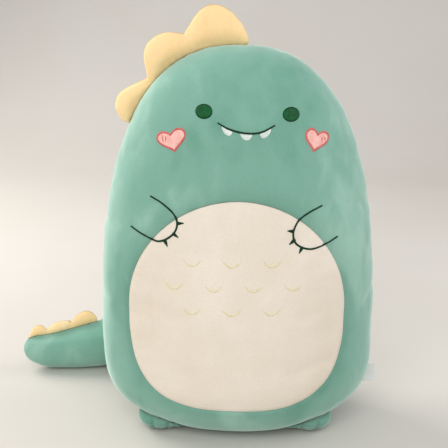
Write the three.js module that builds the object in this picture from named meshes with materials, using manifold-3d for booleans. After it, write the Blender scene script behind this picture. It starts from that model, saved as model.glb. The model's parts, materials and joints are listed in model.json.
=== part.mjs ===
// A stuffed dinosaur: a tall plump cushion body with a sewn-on cream belly, an embroidered face and arms,
// a scalloped crest in the side seam, two small feet under the front and a tapered tail in the back seam.
// Millimetres, +Z up, -Y is the front. The origin is the middle of the flat patch that it stands on.

import * as THREE from 'three';
import { mergeVertices } from 'three/addons/utils/BufferGeometryUtils.js';
import Module from 'manifold-3d';

const wasm = await Module();
wasm.setup();

// ---------------------------------------------------------------- driving dimensions

const FABRIC = 1.8; // thickness of the short-pile knit
const GAP = 0.3; // clearance between pieces that touch
const THREAD = { lift: 0.3, height: 1.0 }; // embroidery stands this far off the fabric, and this high

const BODY = {
  height: 528, // floor to crown
  waist: 140, // height of the widest place
  halfWidth: 191,
  halfDepth: 115,
  settle: 10, // how far the rounded underside is pressed flat by the floor
  section: 2.2, // roundness of a level cut: 2 is an ellipse
  crown: { rise: 2.44, round: 2.52 }, // how the body closes above its widest place
  seat: { rise: 4.27, width: 1.35, depth: 2.2 }, // how it closes below, across and front to back
  seamY: 8, // the side seam lies a little behind the middle
};

const BELLY = {
  centreX: -2,
  halfWidth: 144.5,
  belowCrown: 186, // crown to the top of the panel
  aboveFloor: 54, // floor to the bottom of the panel
  lowerHeight: 136, // bottom of the panel to its widest place
  upperRound: 2.0,
  lowerRound: 2.8,
};

// Face and arms are placed by x and by their drop below the crown.
const EYES = [
  { name: 'eye_left', x: -46, drop: 77, halfWidth: 10.8, halfHeight: 9.0 },
  { name: 'eye_right', x: 63, drop: 80, halfWidth: 10.8, halfHeight: 9.0 },
];

const MOUTH = {
  width: 2.6,
  route: [[-29, 90], [-14, 97.5], [6, 102], [25, 101], [43, 92.5]],
};

const TEETH = [
  { name: 'tooth_left', x: -17, halfWidth: 6.6, depth: 7.2 },
  { name: 'tooth_middle', x: 7, halfWidth: 7.4, depth: 7.2 },
  { name: 'tooth_right', x: 31, halfWidth: 6.8, depth: 7.6 },
];
const TOOTH_GAP = 0.4; // between the mouth's thread and a tooth

const CHEEKS = [
  { side: 'left', x: -85.5, drop: 114, halfWidth: 17.2, halfHeight: 11.6, tilt: 16 },
  { side: 'right', x: 95.5, drop: 113, halfWidth: 13.8, halfHeight: 11.6, tilt: -16 },
];
const CHEEK_BORDER = 2.0; // width of the satin outline around a cheek heart

const ARM_THREAD = 2.8;
const ARMS = [
  {
    name: 'arm_left',
    route: [[-114, 184], [-98, 192], [-83, 205], [-79, 219], [-86, 232], [-103, 241], [-122, 235], [-140, 226]],
    claws: [[-79, 216, -70, 215], [-84, 229, -77, 234], [-95, 239, -91, 247]],
  },
  {
    name: 'arm_right',
    route: [[105, 193], [88, 201], [74, 212], [68, 227], [73, 241], [90, 248], [109, 244], [127, 235]],
    claws: [[68, 224, 60, 223], [70, 235, 63, 241], [80, 245, 76, 253]],
  },
];
const CLAW_ROOT = 4.2; // a claw is a stitched wedge this wide where it leaves the hand

const SCALES = {
  pitch: 51,
  width: 23,
  depth: 8,
  thread: 2.2,
  rows: [
    { belowBellyTop: 75, firstX: -60, count: 3 },
    { belowBellyTop: 107, firstX: -83, count: 4 },
    { belowBellyTop: 139, firstX: -60, count: 3 },
  ],
};

const CREST = {
  lift: 1.5, // clear of the body seam, so that it can bend
  halfThickness: 14,
  steps: 8, // per scallop
  // each scallop's edge: distance along the seam to the left of the crown, and height above the seam
  scallops: [
    [[-10, 5], [-8.6, 14], [-5, 23], [2, 33], [12, 44.2], [22.5, 51.4], [32.6, 54], [41.4, 51], [49, 44.6], [57.5, 35.4], [66.2, 27]],
    [[66.2, 27], [71, 31.2], [78.5, 37], [87.5, 41.2], [97.5, 42.4], [106, 40.4], [113, 35.6], [120, 27.2], [126.5, 17.8], [131.8, 10.5]],
    [[131.8, 10.5], [139.5, 14.2], [148.5, 20], [158, 26.2], [167, 29.6], [175.5, 29.8], [183, 27.2], [189, 22.4], [193.6, 15], [196, 6]],
  ],
};

const TAIL = {
  rootLift: 3.2, // clear of the back seam, so that it can swing
  route: [[0, 0], [-40, 38], [-95, 58], [-206, 46], [-300, 34], [-342, 27]], // x, and y behind the back seam
  underside: [32, 13, 2.2, 1.6, 14], // height of its underside above the floor, at UNDERSIDE_PLACES
  rootHalfHeight: 52,
  taper: 30, // the half height is this much less at the tip, before the tip is rounded off
  flatness: 0.85, // half thickness over half height where it is fullest
  pinch: 0.35, // share of the length over which the root opens out from the seam
};
const UNDERSIDE_PLACES = [0, 0.3, 0.62, 0.87, 1]; // shares of the tail's length

const TIP_ROUNDING = 14; // the higher, the later the tip closes

const TAIL_SPIKES = {
  halfThickness: 6,
  lift: 0.6,
  scallops: [
    { from: 0.675, to: 0.79, height: 24 },
    { from: 0.79, to: 0.885, height: 17 },
    { from: 0.885, to: 0.962, height: 18 },
  ],
  dip: 7,
  steps: 5,
};

const FOOT = {
  x: 105,
  y: -36,
  halfWidth: 33,
  halfLength: 37,
  halfHeight: 17,
  round: 2.6,
  clearance: 1.2, // under the body, so that it can drop
  floorGap: 0.4,
  soleHeight: 11, // height of the seam between upper and sole
};

const LABEL = { bottom: 48, height: 27, reach: 14, thickness: 0.8, lift: 0.8 }; // reach past the seam at its top
const CLOSING_STITCH = { bottom: 235, height: 90, width: 2.4 };

const COLUMNS = 32; // facets around the body
const ROWS = 20; // facets up the body

// ---------------------------------------------------------------- colours

const finish = (color, roughness) => new THREE.MeshStandardMaterial({ color, roughness, metalness: 0 });
const GREEN_PLUSH = finish(0x7fb29c, 0.9);
const CREAM_PLUSH = finish(0xe9dccb, 0.9);
const YELLOW_PLUSH = finish(0xffdf9f, 0.9);
const WHITE_FILLING = finish(0xf4f3ef, 1.0);
const DARK_GREEN_THREAD = finish(0x14452e, 0.55);
const WHITE_FELT = finish(0xeef1ee, 0.9);
const PINK_FELT = finish(0xf9b8ac, 0.9);
const ROSE_THREAD = finish(0xe0857d, 0.55);
const PALE_THREAD = finish(0xeadfae, 0.55);
const GREEN_THREAD = finish(0x6fa48d, 0.6);
const WHITE_SATIN = finish(0xf6f6f4, 0.45);

// ---------------------------------------------------------------- shapes of the body

/** Half width and half depth of the body at height z, drawn in by inset. */
function halvesAt(z, inset = 0) {
  const { waist, height, settle, crown, seat } = BODY;
  const up = THREE.MathUtils.clamp((z - waist) / (height - inset - waist), 0, 1);
  const down = THREE.MathUtils.clamp((waist - z) / (waist + settle - inset), 0, 1);
  const above = (1 - up ** crown.rise) ** (1 / crown.round);
  const below = 1 - down ** seat.rise;
  const share = z > waist ? [above, above] : [below ** (1 / seat.width), below ** (1 / seat.depth)];
  return [(BODY.halfWidth - inset) * share[0], (BODY.halfDepth - inset) * share[1]];
}

/** Distance from the middle plane to the body's front or back surface at x, z. */
function bulgeAt(x, z) {
  const [halfWidth, halfDepth] = halvesAt(z);
  const across = Math.min(Math.abs(x) / halfWidth, 1);
  return halfDepth * (1 - across ** BODY.section) ** (1 / BODY.section);
}

/** The point that stands off above the body's surface at x, z; side is -1 for the front and 1 for the back. */
function onBody(x, z, off, side = -1) {
  const step = 1;
  const slopeX = (bulgeAt(x + step, z) - bulgeAt(x - step, z)) / (2 * step);
  const slopeZ = (bulgeAt(x, z + step) - bulgeAt(x, z - step)) / (2 * step);
  const normal = new THREE.Vector3(-slopeX, side, -slopeZ).normalize();
  return new THREE.Vector3(x, side * bulgeAt(x, z), z).addScaledVector(normal, off);
}

/** A closed mesh from a grid of points whose columns run around it, with a pole at each end. */
function closedGrid(rows, columns, pointAt, firstPole, lastPole) {
  const positions = [...firstPole.toArray()];
  for (let i = 0; i < rows; i += 1) {
    for (let j = 0; j < columns; j += 1) {
      positions.push(...pointAt(i, j).toArray());
    }
  }
  positions.push(...lastPole.toArray());
  const last = rows * columns + 1;
  const at = (i, j) => 1 + i * columns + (j % columns);
  const index = [];
  for (let j = 0; j < columns; j += 1) {
    index.push(0, at(0, j + 1), at(0, j));
    index.push(last, at(rows - 1, j), at(rows - 1, j + 1));
    for (let i = 0; i + 1 < rows; i += 1) {
      index.push(at(i, j), at(i, j + 1), at(i + 1, j + 1));
      index.push(at(i, j), at(i + 1, j + 1), at(i + 1, j));
    }
  }
  return meshOf(positions, index);
}

/** The body's rounded form, drawn in by inset on every side. */
function bodyForm(inset) {
  const top = BODY.height - inset;
  const pointAt = (i, j) => {
    const z = inset + ((top - inset) * (1 - Math.cos((Math.PI * i) / ROWS))) / 2;
    const [halfWidth, halfDepth] = halvesAt(z, inset);
    const angle = (2 * Math.PI * j) / COLUMNS;
    return new THREE.Vector3(
      halfWidth * roundPower(Math.cos(angle), BODY.section),
      halfDepth * roundPower(Math.sin(angle), BODY.section),
      z,
    );
  };
  return closedGrid(ROWS, COLUMNS, pointAt, new THREE.Vector3(0, 0, inset), new THREE.Vector3(0, 0, top));
}

/** Keeps the sign and raises the size to 2 / n, which turns a circle into a rounder square as n grows. */
function roundPower(value, n) {
  return Math.sign(value) * Math.abs(value) ** (2 / n);
}

// ---------------------------------------------------------------- general solids

/** A BufferGeometry with outward faces from positions and an index. */
function meshOf(positions, index) {
  const geometry = new THREE.BufferGeometry();
  geometry.setAttribute('position', new THREE.Float32BufferAttribute(positions, 3));
  geometry.setIndex(signedVolume(positions, index) < 0 ? reversed(index) : index);
  return geometry;
}

function signedVolume(positions, index) {
  const [a, b, c] = [new THREE.Vector3(), new THREE.Vector3(), new THREE.Vector3()];
  let volume = 0;
  for (let i = 0; i < index.length; i += 3) {
    a.fromArray(positions, 3 * index[i]);
    b.fromArray(positions, 3 * index[i + 1]);
    c.fromArray(positions, 3 * index[i + 2]);
    volume += a.dot(b.cross(c)) / 6;
  }
  return volume;
}

function reversed(index) {
  const turned = [];
  for (let i = 0; i < index.length; i += 3) {
    turned.push(index[i], index[i + 2], index[i + 1]);
  }
  return turned;
}

/** A closed solid between two surfaces, each a function of u and v from 0 to 1, walled in along its four edges. */
function slab(stepsU, stepsV, nearSide, farSide) {
  const positions = [];
  for (const surface of [nearSide, farSide]) {
    for (let i = 0; i <= stepsU; i += 1) {
      for (let j = 0; j <= stepsV; j += 1) {
        positions.push(...surface(i / stepsU, j / stepsV).toArray());
      }
    }
  }
  const layer = (stepsU + 1) * (stepsV + 1);
  const at = (side, i, j) => side * layer + i * (stepsV + 1) + j;
  const index = [];
  const quad = (a, b, c, d) => index.push(a, b, c, a, c, d);
  for (let i = 0; i < stepsU; i += 1) {
    for (let j = 0; j < stepsV; j += 1) {
      quad(at(0, i, j), at(0, i, j + 1), at(0, i + 1, j + 1), at(0, i + 1, j));
      quad(at(1, i, j), at(1, i + 1, j), at(1, i + 1, j + 1), at(1, i, j + 1));
    }
    quad(at(0, i, 0), at(0, i + 1, 0), at(1, i + 1, 0), at(1, i, 0));
    quad(at(0, i + 1, stepsV), at(0, i, stepsV), at(1, i, stepsV), at(1, i + 1, stepsV));
  }
  for (let j = 0; j < stepsV; j += 1) {
    quad(at(0, 0, j + 1), at(0, 0, j), at(1, 0, j), at(1, 0, j + 1));
    quad(at(0, stepsU, j), at(0, stepsU, j + 1), at(1, stepsU, j + 1), at(1, stepsU, j));
  }
  return meshOf(positions, index);
}

/** A closed solid between two surfaces over the same grid, one cell in from each edge: the filling of a skin. */
function filling(stepsU, stepsV, nearSide, farSide) {
  const inward = (surface) => (u, v) => surface(
    THREE.MathUtils.lerp(1 / stepsU, 1 - 1 / stepsU, u),
    THREE.MathUtils.lerp(1 / stepsV, 1 - 1 / stepsV, v),
  );
  return slab(stepsU - 2, stepsV - 2, inward(nearSide), inward(farSide));
}

function toManifold(geometry) {
  const bare = geometry.clone();
  bare.deleteAttribute('normal');
  bare.deleteAttribute('uv');
  const merged = mergeVertices(bare, 1e-5);
  return new wasm.Manifold(new wasm.Mesh({
    numProp: 3,
    vertProperties: Float32Array.from(merged.attributes.position.array),
    triVerts: Uint32Array.from(merged.index.array),
  }));
}

function toGeometry(solid) {
  const mesh = solid.getMesh();
  const geometry = new THREE.BufferGeometry();
  geometry.setAttribute('position', new THREE.BufferAttribute(mesh.vertProperties, 3));
  geometry.setIndex(new THREE.BufferAttribute(mesh.triVerts, 1));
  return geometry;
}

/** A block between two corners, as a solid to cut with. */
function block(low, high) {
  const size = high.map((value, axis) => value - low[axis]);
  const box = new THREE.BoxGeometry(...size);
  box.translate(...low.map((value, axis) => value + size[axis] / 2));
  return toManifold(box);
}

// ---------------------------------------------------------------- embroidery

/** A raised thread along a route of x, z points on the body, thread wide. */
function stitchedLine(route, width, side = -1) {
  const curve = new THREE.SplineCurve(route.map(([x, z]) => new THREE.Vector2(x, z)));
  const steps = 2 * route.length;
  const edge = (off) => (u, v) => {
    const point = curve.getPoint(u);
    const along = curve.getTangent(u);
    const shift = (v - 0.5) * width;
    return onBody(point.x - along.y * shift, point.y + along.x * shift, off, side);
  };
  return slab(steps, 1, edge(THREAD.lift), edge(THREAD.lift + THREAD.height));
}

/** A raised patch on the body's front inside a closed outline, a function of an angle around a centre x, z. */
function stitchedPatch(centre, outline, around = 18, rings = 2, thick = THREAD.height) {
  const ring = (i, angle) => outline(angle).map((value, axis) => THREE.MathUtils.lerp(centre[axis], value, i / rings));
  const layers = [];
  for (let i = 1; i <= rings; i += 1) {
    layers.push({ ring: i, off: THREAD.lift });
  }
  for (let i = rings; i >= 1; i -= 1) {
    layers.push({ ring: i, off: THREAD.lift + thick });
  }
  const pointAt = (i, j) => onBody(...ring(layers[i].ring, (2 * Math.PI * j) / around), layers[i].off);
  const pole = (off) => onBody(...centre, off);
  return closedGrid(layers.length, around, pointAt, pole(THREAD.lift), pole(THREAD.lift + thick));
}

/** The point at an angle on a heart that fits halfWidth by halfHeight, turned by tilt degrees. */
function heartPoint(cheek, angle, grow) {
  const lobe = Math.sin(angle) ** 3;
  const rise = (13 * Math.cos(angle) - 5 * Math.cos(2 * angle) - 2 * Math.cos(3 * angle) - Math.cos(4 * angle) + 2.5) / 14.5;
  const x = (cheek.halfWidth + grow) * lobe;
  const z = (cheek.halfHeight + grow) * rise;
  const turn = THREE.MathUtils.degToRad(cheek.tilt);
  return [
    cheek.x + x * Math.cos(turn) - z * Math.sin(turn),
    BODY.height - cheek.drop + x * Math.sin(turn) + z * Math.cos(turn),
  ];
}

/** A closed band on the body's front between two outlines of the same angle. */
function stitchedBand(inner, outer, around) {
  const positions = [];
  for (let j = 0; j < around; j += 1) {
    const angle = (2 * Math.PI * j) / around;
    for (const [outline, off] of [[inner, 0], [outer, 0], [outer, THREAD.height], [inner, THREAD.height]]) {
      positions.push(...onBody(...outline(angle), THREAD.lift + off).toArray());
    }
  }
  const index = [];
  for (let j = 0; j < around; j += 1) {
    const next = (j + 1) % around;
    for (let k = 0; k < 4; k += 1) {
      const [a, b] = [4 * j + k, 4 * j + ((k + 1) % 4)];
      const [c, d] = [4 * next + ((k + 1) % 4), 4 * next + k];
      index.push(a, b, c, a, c, d);
    }
  }
  return meshOf(positions, index);
}

// ---------------------------------------------------------------- the assembly

const dinosaur = new THREE.Group();
dinosaur.name = 'stuffed_dinosaur';

function add(name, geometry, material) {
  const mesh = new THREE.Mesh(geometry, material);
  mesh.name = name;
  dinosaur.add(mesh);
}

/** The belly panel's outline, grown by some distance. */
function bellyPoint(angle, grow) {
  const top = BODY.height - BELLY.belowCrown;
  const middle = BELLY.aboveFloor + BELLY.lowerHeight;
  const upper = Math.sin(angle) >= 0;
  const round = upper ? BELLY.upperRound : BELLY.lowerRound;
  const reach = upper ? top - middle : BELLY.lowerHeight;
  return [
    BELLY.centreX + (BELLY.halfWidth + grow) * roundPower(Math.cos(angle), round),
    middle + (reach + grow) * roundPower(Math.sin(angle), round),
  ];
}

/** A cutter through the body's front, of the belly panel's outline. */
function bellyCutter(grow) {
  const corners = [];
  const around = 48;
  for (let j = 0; j < around; j += 1) {
    corners.push(new THREE.Vector2(...bellyPoint((2 * Math.PI * (j + 0.5)) / around, grow)));
  }
  const deep = BODY.halfDepth + 20;
  const prism = new THREE.ExtrudeGeometry(new THREE.Shape(corners), { depth: deep, bevelEnabled: false });
  prism.rotateX(Math.PI / 2);
  return toManifold(prism);
}

function addBody() {
  const fabric = toManifold(bodyForm(0)).subtract(toManifold(bodyForm(FABRIC)));
  const far = BODY.height + BODY.halfWidth;
  const seam = BODY.seamY;
  const front = fabric.intersect(block([-far, -far, -far], [far, seam - GAP / 2, far]));
  const back = fabric.intersect(block([-far, seam + GAP / 2, -far], [far, far, far]));
  add('front_panel', toGeometry(front.subtract(bellyCutter(GAP))), GREEN_PLUSH);
  add('belly_panel', toGeometry(front.intersect(bellyCutter(0))), CREAM_PLUSH);
  add('back_panel_left', toGeometry(back.intersect(block([-far, -far, -far], [-GAP / 2, far, far]))), GREEN_PLUSH);
  add('back_panel_right', toGeometry(back.intersect(block([GAP / 2, -far, -far], [far, far, far]))), GREEN_PLUSH);
  add('body_stuffing', bodyForm(FABRIC + GAP), WHITE_FILLING);
  const { bottom, height, width } = CLOSING_STITCH;
  const route = [0, 1, 2, 3].map((k) => [0, bottom + (height * k) / 3]);
  add('closing_stitch', stitchedLine(route, width, 1), GREEN_THREAD);
}

/** The lowest height of the mouth's line within reach of x. */
function mouthLevel(x, reach) {
  const curve = new THREE.SplineCurve(MOUTH.route.map(([px, drop]) => new THREE.Vector2(px, BODY.height - drop)));
  const near = curve.getPoints(60).filter((point) => Math.abs(point.x - x) <= reach);
  return Math.min(...near.map((point) => point.y));
}

function addFace() {
  for (const eye of EYES) {
    const centre = [eye.x, BODY.height - eye.drop];
    const outline = (angle) => [
      centre[0] + eye.halfWidth * Math.cos(angle),
      centre[1] + eye.halfHeight * Math.sin(angle),
    ];
    add(eye.name, stitchedPatch(centre, outline), DARK_GREEN_THREAD);
  }
  add('mouth', stitchedLine(MOUTH.route.map(([x, drop]) => [x, BODY.height - drop]), MOUTH.width), DARK_GREEN_THREAD);
  for (const tooth of TEETH) {
    const top = mouthLevel(tooth.x, tooth.halfWidth) - MOUTH.width / 2 - TOOTH_GAP;
    const centre = [tooth.x, top - tooth.depth * 0.4];
    const outline = (angle) => [
      tooth.x + tooth.halfWidth * roundPower(Math.cos(angle), 2.4),
      top - (tooth.depth * (1 - roundPower(Math.sin(angle), Math.sin(angle) > 0 ? 6 : 2))) / 2,
    ];
    add(tooth.name, stitchedPatch(centre, outline, 16, 2), WHITE_FELT);
  }
}

function addCheeks() {
  for (const cheek of CHEEKS) {
    const centre = [cheek.x, BODY.height - cheek.drop];
    const heart = (grow) => (angle) => heartPoint(cheek, angle, grow);
    add(`cheek_${cheek.side}`, stitchedPatch(centre, heart(0), 24, 3, THREAD.height / 2), PINK_FELT);
    add(`cheek_outline_${cheek.side}`, stitchedBand(heart(GAP), heart(CHEEK_BORDER), 24), ROSE_THREAD);
  }
}

function addArms() {
  for (const arm of ARMS) {
    const route = arm.route.map(([x, drop]) => [x, BODY.height - drop]);
    let solid = toManifold(stitchedLine(route, ARM_THREAD));
    for (const [rootX, rootDrop, tipX, tipDrop] of arm.claws) {
      const root = new THREE.Vector2(rootX, BODY.height - rootDrop);
      const tip = new THREE.Vector2(tipX, BODY.height - tipDrop);
      const along = tip.clone().sub(root).normalize();
      const wedge = (off) => (u, v) => {
        const centre = root.clone().lerp(tip, u);
        const shift = (v - 0.5) * THREE.MathUtils.lerp(CLAW_ROOT, ARM_THREAD / 3, u);
        return onBody(centre.x - along.y * shift, centre.y + along.x * shift, off);
      };
      solid = solid.add(toManifold(slab(2, 1, wedge(THREAD.lift), wedge(THREAD.lift + THREAD.height))));
    }
    add(arm.name, toGeometry(solid), DARK_GREEN_THREAD);
  }
}

function addBellyScales() {
  const { pitch, width, depth, thread, rows } = SCALES;
  const bellyTop = BODY.height - BELLY.belowCrown;
  let number = 0;
  for (const row of rows) {
    for (let k = 0; k < row.count; k += 1) {
      number += 1;
      const x = row.firstX + pitch * k;
      const z = bellyTop - row.belowBellyTop;
      const route = [-1, -0.6, 0, 0.6, 1].map((t) => [x + (t * width) / 2, z - depth * (1 - t * t)]);
      add(`belly_scale_${number}`, stitchedLine(route, thread), PALE_THREAD);
    }
  }
}

/** The side seam of the upper body, from just right of the crown down its left side. */
function crownSeam() {
  const points = [];
  const half = 60;
  for (let k = -half; k <= half; k += 1) {
    const across = Math.abs(k) / half;
    const x = Math.sign(k) * -BODY.halfWidth * Math.sin((across * Math.PI) / 2);
    const level = (1 - (Math.abs(x) / BODY.halfWidth) ** BODY.crown.round) ** (1 / BODY.crown.rise);
    points.push(new THREE.Vector3(x, BODY.seamY, BODY.waist + (BODY.height - BODY.waist) * level));
  }
  const curve = new THREE.CatmullRomCurve3(points);
  curve.arcLengthDivisions = 1000;
  return curve;
}

function addCrest() {
  const seam = crownSeam();
  const length = seam.getLength();
  const parts = CREST.scallops.length;
  const edges = CREST.scallops.map((points) => new THREE.SplineCurve(points.map((point) => new THREE.Vector2(...point))));
  // u runs along the three scallops and v from the seam to the scalloped edge
  const place = (u) => {
    const k = Math.min(Math.floor(u * parts), parts - 1);
    const t = u * parts - k;
    const dome = Math.max(Math.sin(Math.PI * t), 0) ** 0.6;
    const { x: distance, y: height } = edges[k].getPoint(t);
    const at = 0.5 + distance / length;
    const along = seam.getTangentAt(at);
    const outward = new THREE.Vector3(along.z, 0, -along.x);
    const base = seam.getPointAt(at).addScaledVector(outward, CREST.lift);
    return { base, outward, height: height - CREST.lift, dome };
  };
  const plump = (u, v) => CREST.halfThickness * (0.35 + 0.65 * place(u).dome) * Math.sin(Math.PI * v) ** 0.7;
  const surface = (side, thick) => (u, v) => {
    const { base, outward, height } = place(u);
    const point = base.addScaledVector(outward, height * v);
    point.y += side * (plump(u, v) + thick);
    return point;
  };
  const stepsU = CREST.steps * parts;
  const stepsV = 4;
  for (const [name, side] of [['crest_front_panel', -1], ['crest_back_panel', 1]]) {
    const skin = slab(stepsU, stepsV, surface(side, GAP / 2), surface(side, GAP / 2 + FABRIC));
    add(name, skin, YELLOW_PLUSH);
  }
  add('crest_stuffing', filling(stepsU, stepsV, surface(-1, -GAP), surface(1, -GAP)), WHITE_FILLING);
}

/** The height of the middle of the tail's root. */
function rootHeight() {
  return TAIL.underside[0] + TAIL.rootHalfHeight;
}

/** The tail's middle line and sizes at u, from the root at the back seam to the tip. */
function tailShape() {
  const backSeam = bulgeAt(0, rootHeight()) + TAIL.rootLift;
  const route = TAIL.route.map(([x, y]) => new THREE.Vector3(x, backSeam + y, 0));
  const plan = new THREE.CatmullRomCurve3(route);
  const places = UNDERSIDE_PLACES;
  const underside = new THREE.SplineCurve(places.map((u, k) => new THREE.Vector2(u, TAIL.underside[k])));
  return (u) => {
    const centre = plan.getPointAt(u);
    const k = Math.max(places.findIndex((place) => u <= place), 1);
    const t = (u - places[k - 1]) / (places[k] - places[k - 1]);
    const tapered = TAIL.rootHalfHeight - TAIL.taper * u * u;
    centre.z = underside.getPoint((k - 1 + t) / (places.length - 1)).y + tapered;
    const along = plan.getTangentAt(u);
    const outward = new THREE.Vector3(-along.y, along.x, 0);
    const halfHeight = tapered * Math.sqrt(1 - u ** TIP_ROUNDING);
    const open = Math.sin((Math.PI / 2) * Math.min(u / TAIL.pinch, 1));
    return { centre, outward, halfHeight, halfThickness: TAIL.flatness * halfHeight * open };
  };
}

function addTail() {
  const shape = tailShape();
  const end = 0.985;
  const surface = (side, thick) => (u, v) => {
    const { centre, outward, halfHeight, halfThickness } = shape(end * u);
    const rise = Math.sin((v - 0.5) * Math.PI);
    // the root follows the slope of the back seam, so its lower part starts further forward
    const root = centre.clone();
    root.z += halfHeight * rise;
    const follow = Math.max(1 - u / TAIL.pinch, 0) ** 2;
    root.y += follow * (bulgeAt(0, root.z) - bulgeAt(0, rootHeight()));
    return root.addScaledVector(outward, side * (halfThickness * Math.cos((v - 0.5) * Math.PI) + thick));
  };
  const [stepsU, stepsV] = [16, 8];
  for (const [name, side] of [['tail_front_panel', 1], ['tail_back_panel', -1]]) {
    const skin = slab(stepsU, stepsV, surface(side, GAP / 2), surface(side, GAP / 2 + FABRIC));
    add(name, skin, GREEN_PLUSH);
  }
  add('tail_stuffing', filling(stepsU, stepsV, surface(-1, -GAP), surface(1, -GAP)), WHITE_FILLING);
  addTailSpikes(shape);
}

function addTailSpikes(shape) {
  const { scallops, dip, halfThickness, lift, steps } = TAIL_SPIKES;
  const parts = scallops.length;
  const surface = (side, thick) => (u, v) => {
    const k = Math.min(Math.floor(u * parts), parts - 1);
    const t = u * parts - k;
    const { from, to, height } = scallops[k];
    const dome = Math.max(Math.sin(Math.PI * t), 0) ** 0.6;
    const ends = (k === 0 && t < 0.5) || (k === parts - 1 && t > 0.5);
    const foot = ends ? FABRIC : dip;
    const { centre, outward, halfHeight } = shape(THREE.MathUtils.lerp(from, to, t));
    centre.z += halfHeight + lift + (foot + (height - foot) * dome) * v;
    const plump = halfThickness * (0.3 + 0.7 * dome) * Math.sin(Math.PI * v) ** 0.7;
    return centre.addScaledVector(outward, side * (plump + thick));
  };
  const stepsU = steps * parts;
  for (const [name, side] of [['tail_spikes_front_panel', 1], ['tail_spikes_back_panel', -1]]) {
    const skin = slab(stepsU, 4, surface(side, GAP / 2), surface(side, GAP / 2 + FABRIC));
    add(name, skin, YELLOW_PLUSH);
  }
  add('tail_spikes_stuffing', filling(stepsU, 4, surface(-1, -GAP), surface(1, -GAP)), WHITE_FILLING);
}

/** A foot's rounded form, drawn in by inset and pressed up by the body above it. */
function footForm(side, inset) {
  const ball = new THREE.SphereGeometry(1, 16, 10);
  ball.rotateX(Math.PI / 2);
  const positions = ball.attributes.position;
  const reach = [FOOT.halfWidth - inset, FOOT.halfLength - inset, FOOT.halfHeight - inset];
  for (let i = 0; i < positions.count; i += 1) {
    const unit = [positions.getX(i), positions.getY(i), positions.getZ(i)];
    const length = unit.reduce((sum, value) => sum + Math.abs(value) ** FOOT.round, 0) ** (1 / FOOT.round);
    positions.setXYZ(i, ...unit.map((value, axis) => (value / length) * reach[axis]));
  }
  ball.translate(side * FOOT.x, FOOT.y, FOOT.floorGap + FOOT.halfHeight);
  return toManifold(ball).subtract(toManifold(bodyForm(-FOOT.clearance - inset)));
}

function addFeet() {
  for (const [name, side] of [['left', -1], ['right', 1]]) {
    const skin = footForm(side, 0).subtract(footForm(side, FABRIC));
    const far = BODY.height;
    const seam = FOOT.floorGap + FOOT.soleHeight;
    add(`foot_${name}_upper`, toGeometry(skin.intersect(block([-far, -far, seam + GAP / 2], [far, far, far]))), GREEN_PLUSH);
    add(`foot_${name}_sole`, toGeometry(skin.intersect(block([-far, -far, -far], [far, far, seam - GAP / 2]))), GREEN_PLUSH);
    add(`foot_${name}_stuffing`, toGeometry(footForm(side, FABRIC + GAP)), WHITE_FILLING);
  }
}

function addLabel() {
  const { bottom, height, reach, thickness, lift } = LABEL;
  const outerEdge = halvesAt(bottom + height)[0] + reach;
  const surface = (off) => (u, v) => {
    const z = bottom + height * u;
    const root = halvesAt(z)[0] + lift;
    return new THREE.Vector3(THREE.MathUtils.lerp(root, outerEdge, v), BODY.seamY + off, z);
  };
  add('care_label', slab(3, 1, surface(-thickness / 2), surface(thickness / 2)), WHITE_SATIN);
}

addBody();
addFace();
addCheeks();
addArms();
addBellyScales();
addCrest();
addTail();
addFeet();
addLabel();

export default dinosaur;
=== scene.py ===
"""A stuffed dinosaur: a plump cushion body with an embroidered face, a crest, two feet and a tail.

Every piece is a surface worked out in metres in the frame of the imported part: +Z up, -Y the front,
the origin in the middle of the flat patch that the toy sits on.
"""

import json
import logging
import math
from dataclasses import dataclass, field
from enum import Enum
from typing import Callable, Optional, Sequence

import bpy
from mathutils import Matrix
import numpy as np

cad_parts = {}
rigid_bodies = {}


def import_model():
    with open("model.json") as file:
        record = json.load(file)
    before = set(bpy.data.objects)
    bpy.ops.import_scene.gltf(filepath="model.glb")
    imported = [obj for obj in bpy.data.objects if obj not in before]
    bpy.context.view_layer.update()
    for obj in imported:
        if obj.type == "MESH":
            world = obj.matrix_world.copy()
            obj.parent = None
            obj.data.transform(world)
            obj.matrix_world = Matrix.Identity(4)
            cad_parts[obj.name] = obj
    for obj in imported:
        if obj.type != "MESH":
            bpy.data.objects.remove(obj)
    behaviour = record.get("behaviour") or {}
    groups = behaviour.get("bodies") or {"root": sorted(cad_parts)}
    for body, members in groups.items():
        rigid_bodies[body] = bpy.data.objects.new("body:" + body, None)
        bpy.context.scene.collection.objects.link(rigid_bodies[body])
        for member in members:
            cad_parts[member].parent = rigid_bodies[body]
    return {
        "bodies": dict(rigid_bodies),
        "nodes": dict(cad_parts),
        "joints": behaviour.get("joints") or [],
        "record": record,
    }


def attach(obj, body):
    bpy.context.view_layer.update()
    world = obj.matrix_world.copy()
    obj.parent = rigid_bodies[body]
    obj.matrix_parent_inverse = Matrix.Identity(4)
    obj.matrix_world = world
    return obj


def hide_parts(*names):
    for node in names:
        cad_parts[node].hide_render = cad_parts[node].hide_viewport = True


LOG = logging.getLogger("stuffed_dinosaur")
SEED = 7
FABRIC = 0.0018  # thickness of the short-pile knit
FILLING_INSET = 0.0085  # the body's filling lies this far inside the outside of the cover
TAU = 2 * math.pi
HALVINGS = 44  # rounds in which a place is narrowed down
WAVES = 9  # sine waves in one set of lumps
COLUMN_STEP = 0.0031  # distance between the body's columns along the side seam
REST_HEIGHT = 0.0002  # the covers' lowest points stand this far above the floor

Array = np.ndarray
Piece = bpy.types.Object
Socket = bpy.types.NodeSocket
Rule = Callable[[Array], Array]  # one value or point for each place that it is given


# ------------------------------------------------------------------ choices and names


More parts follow.
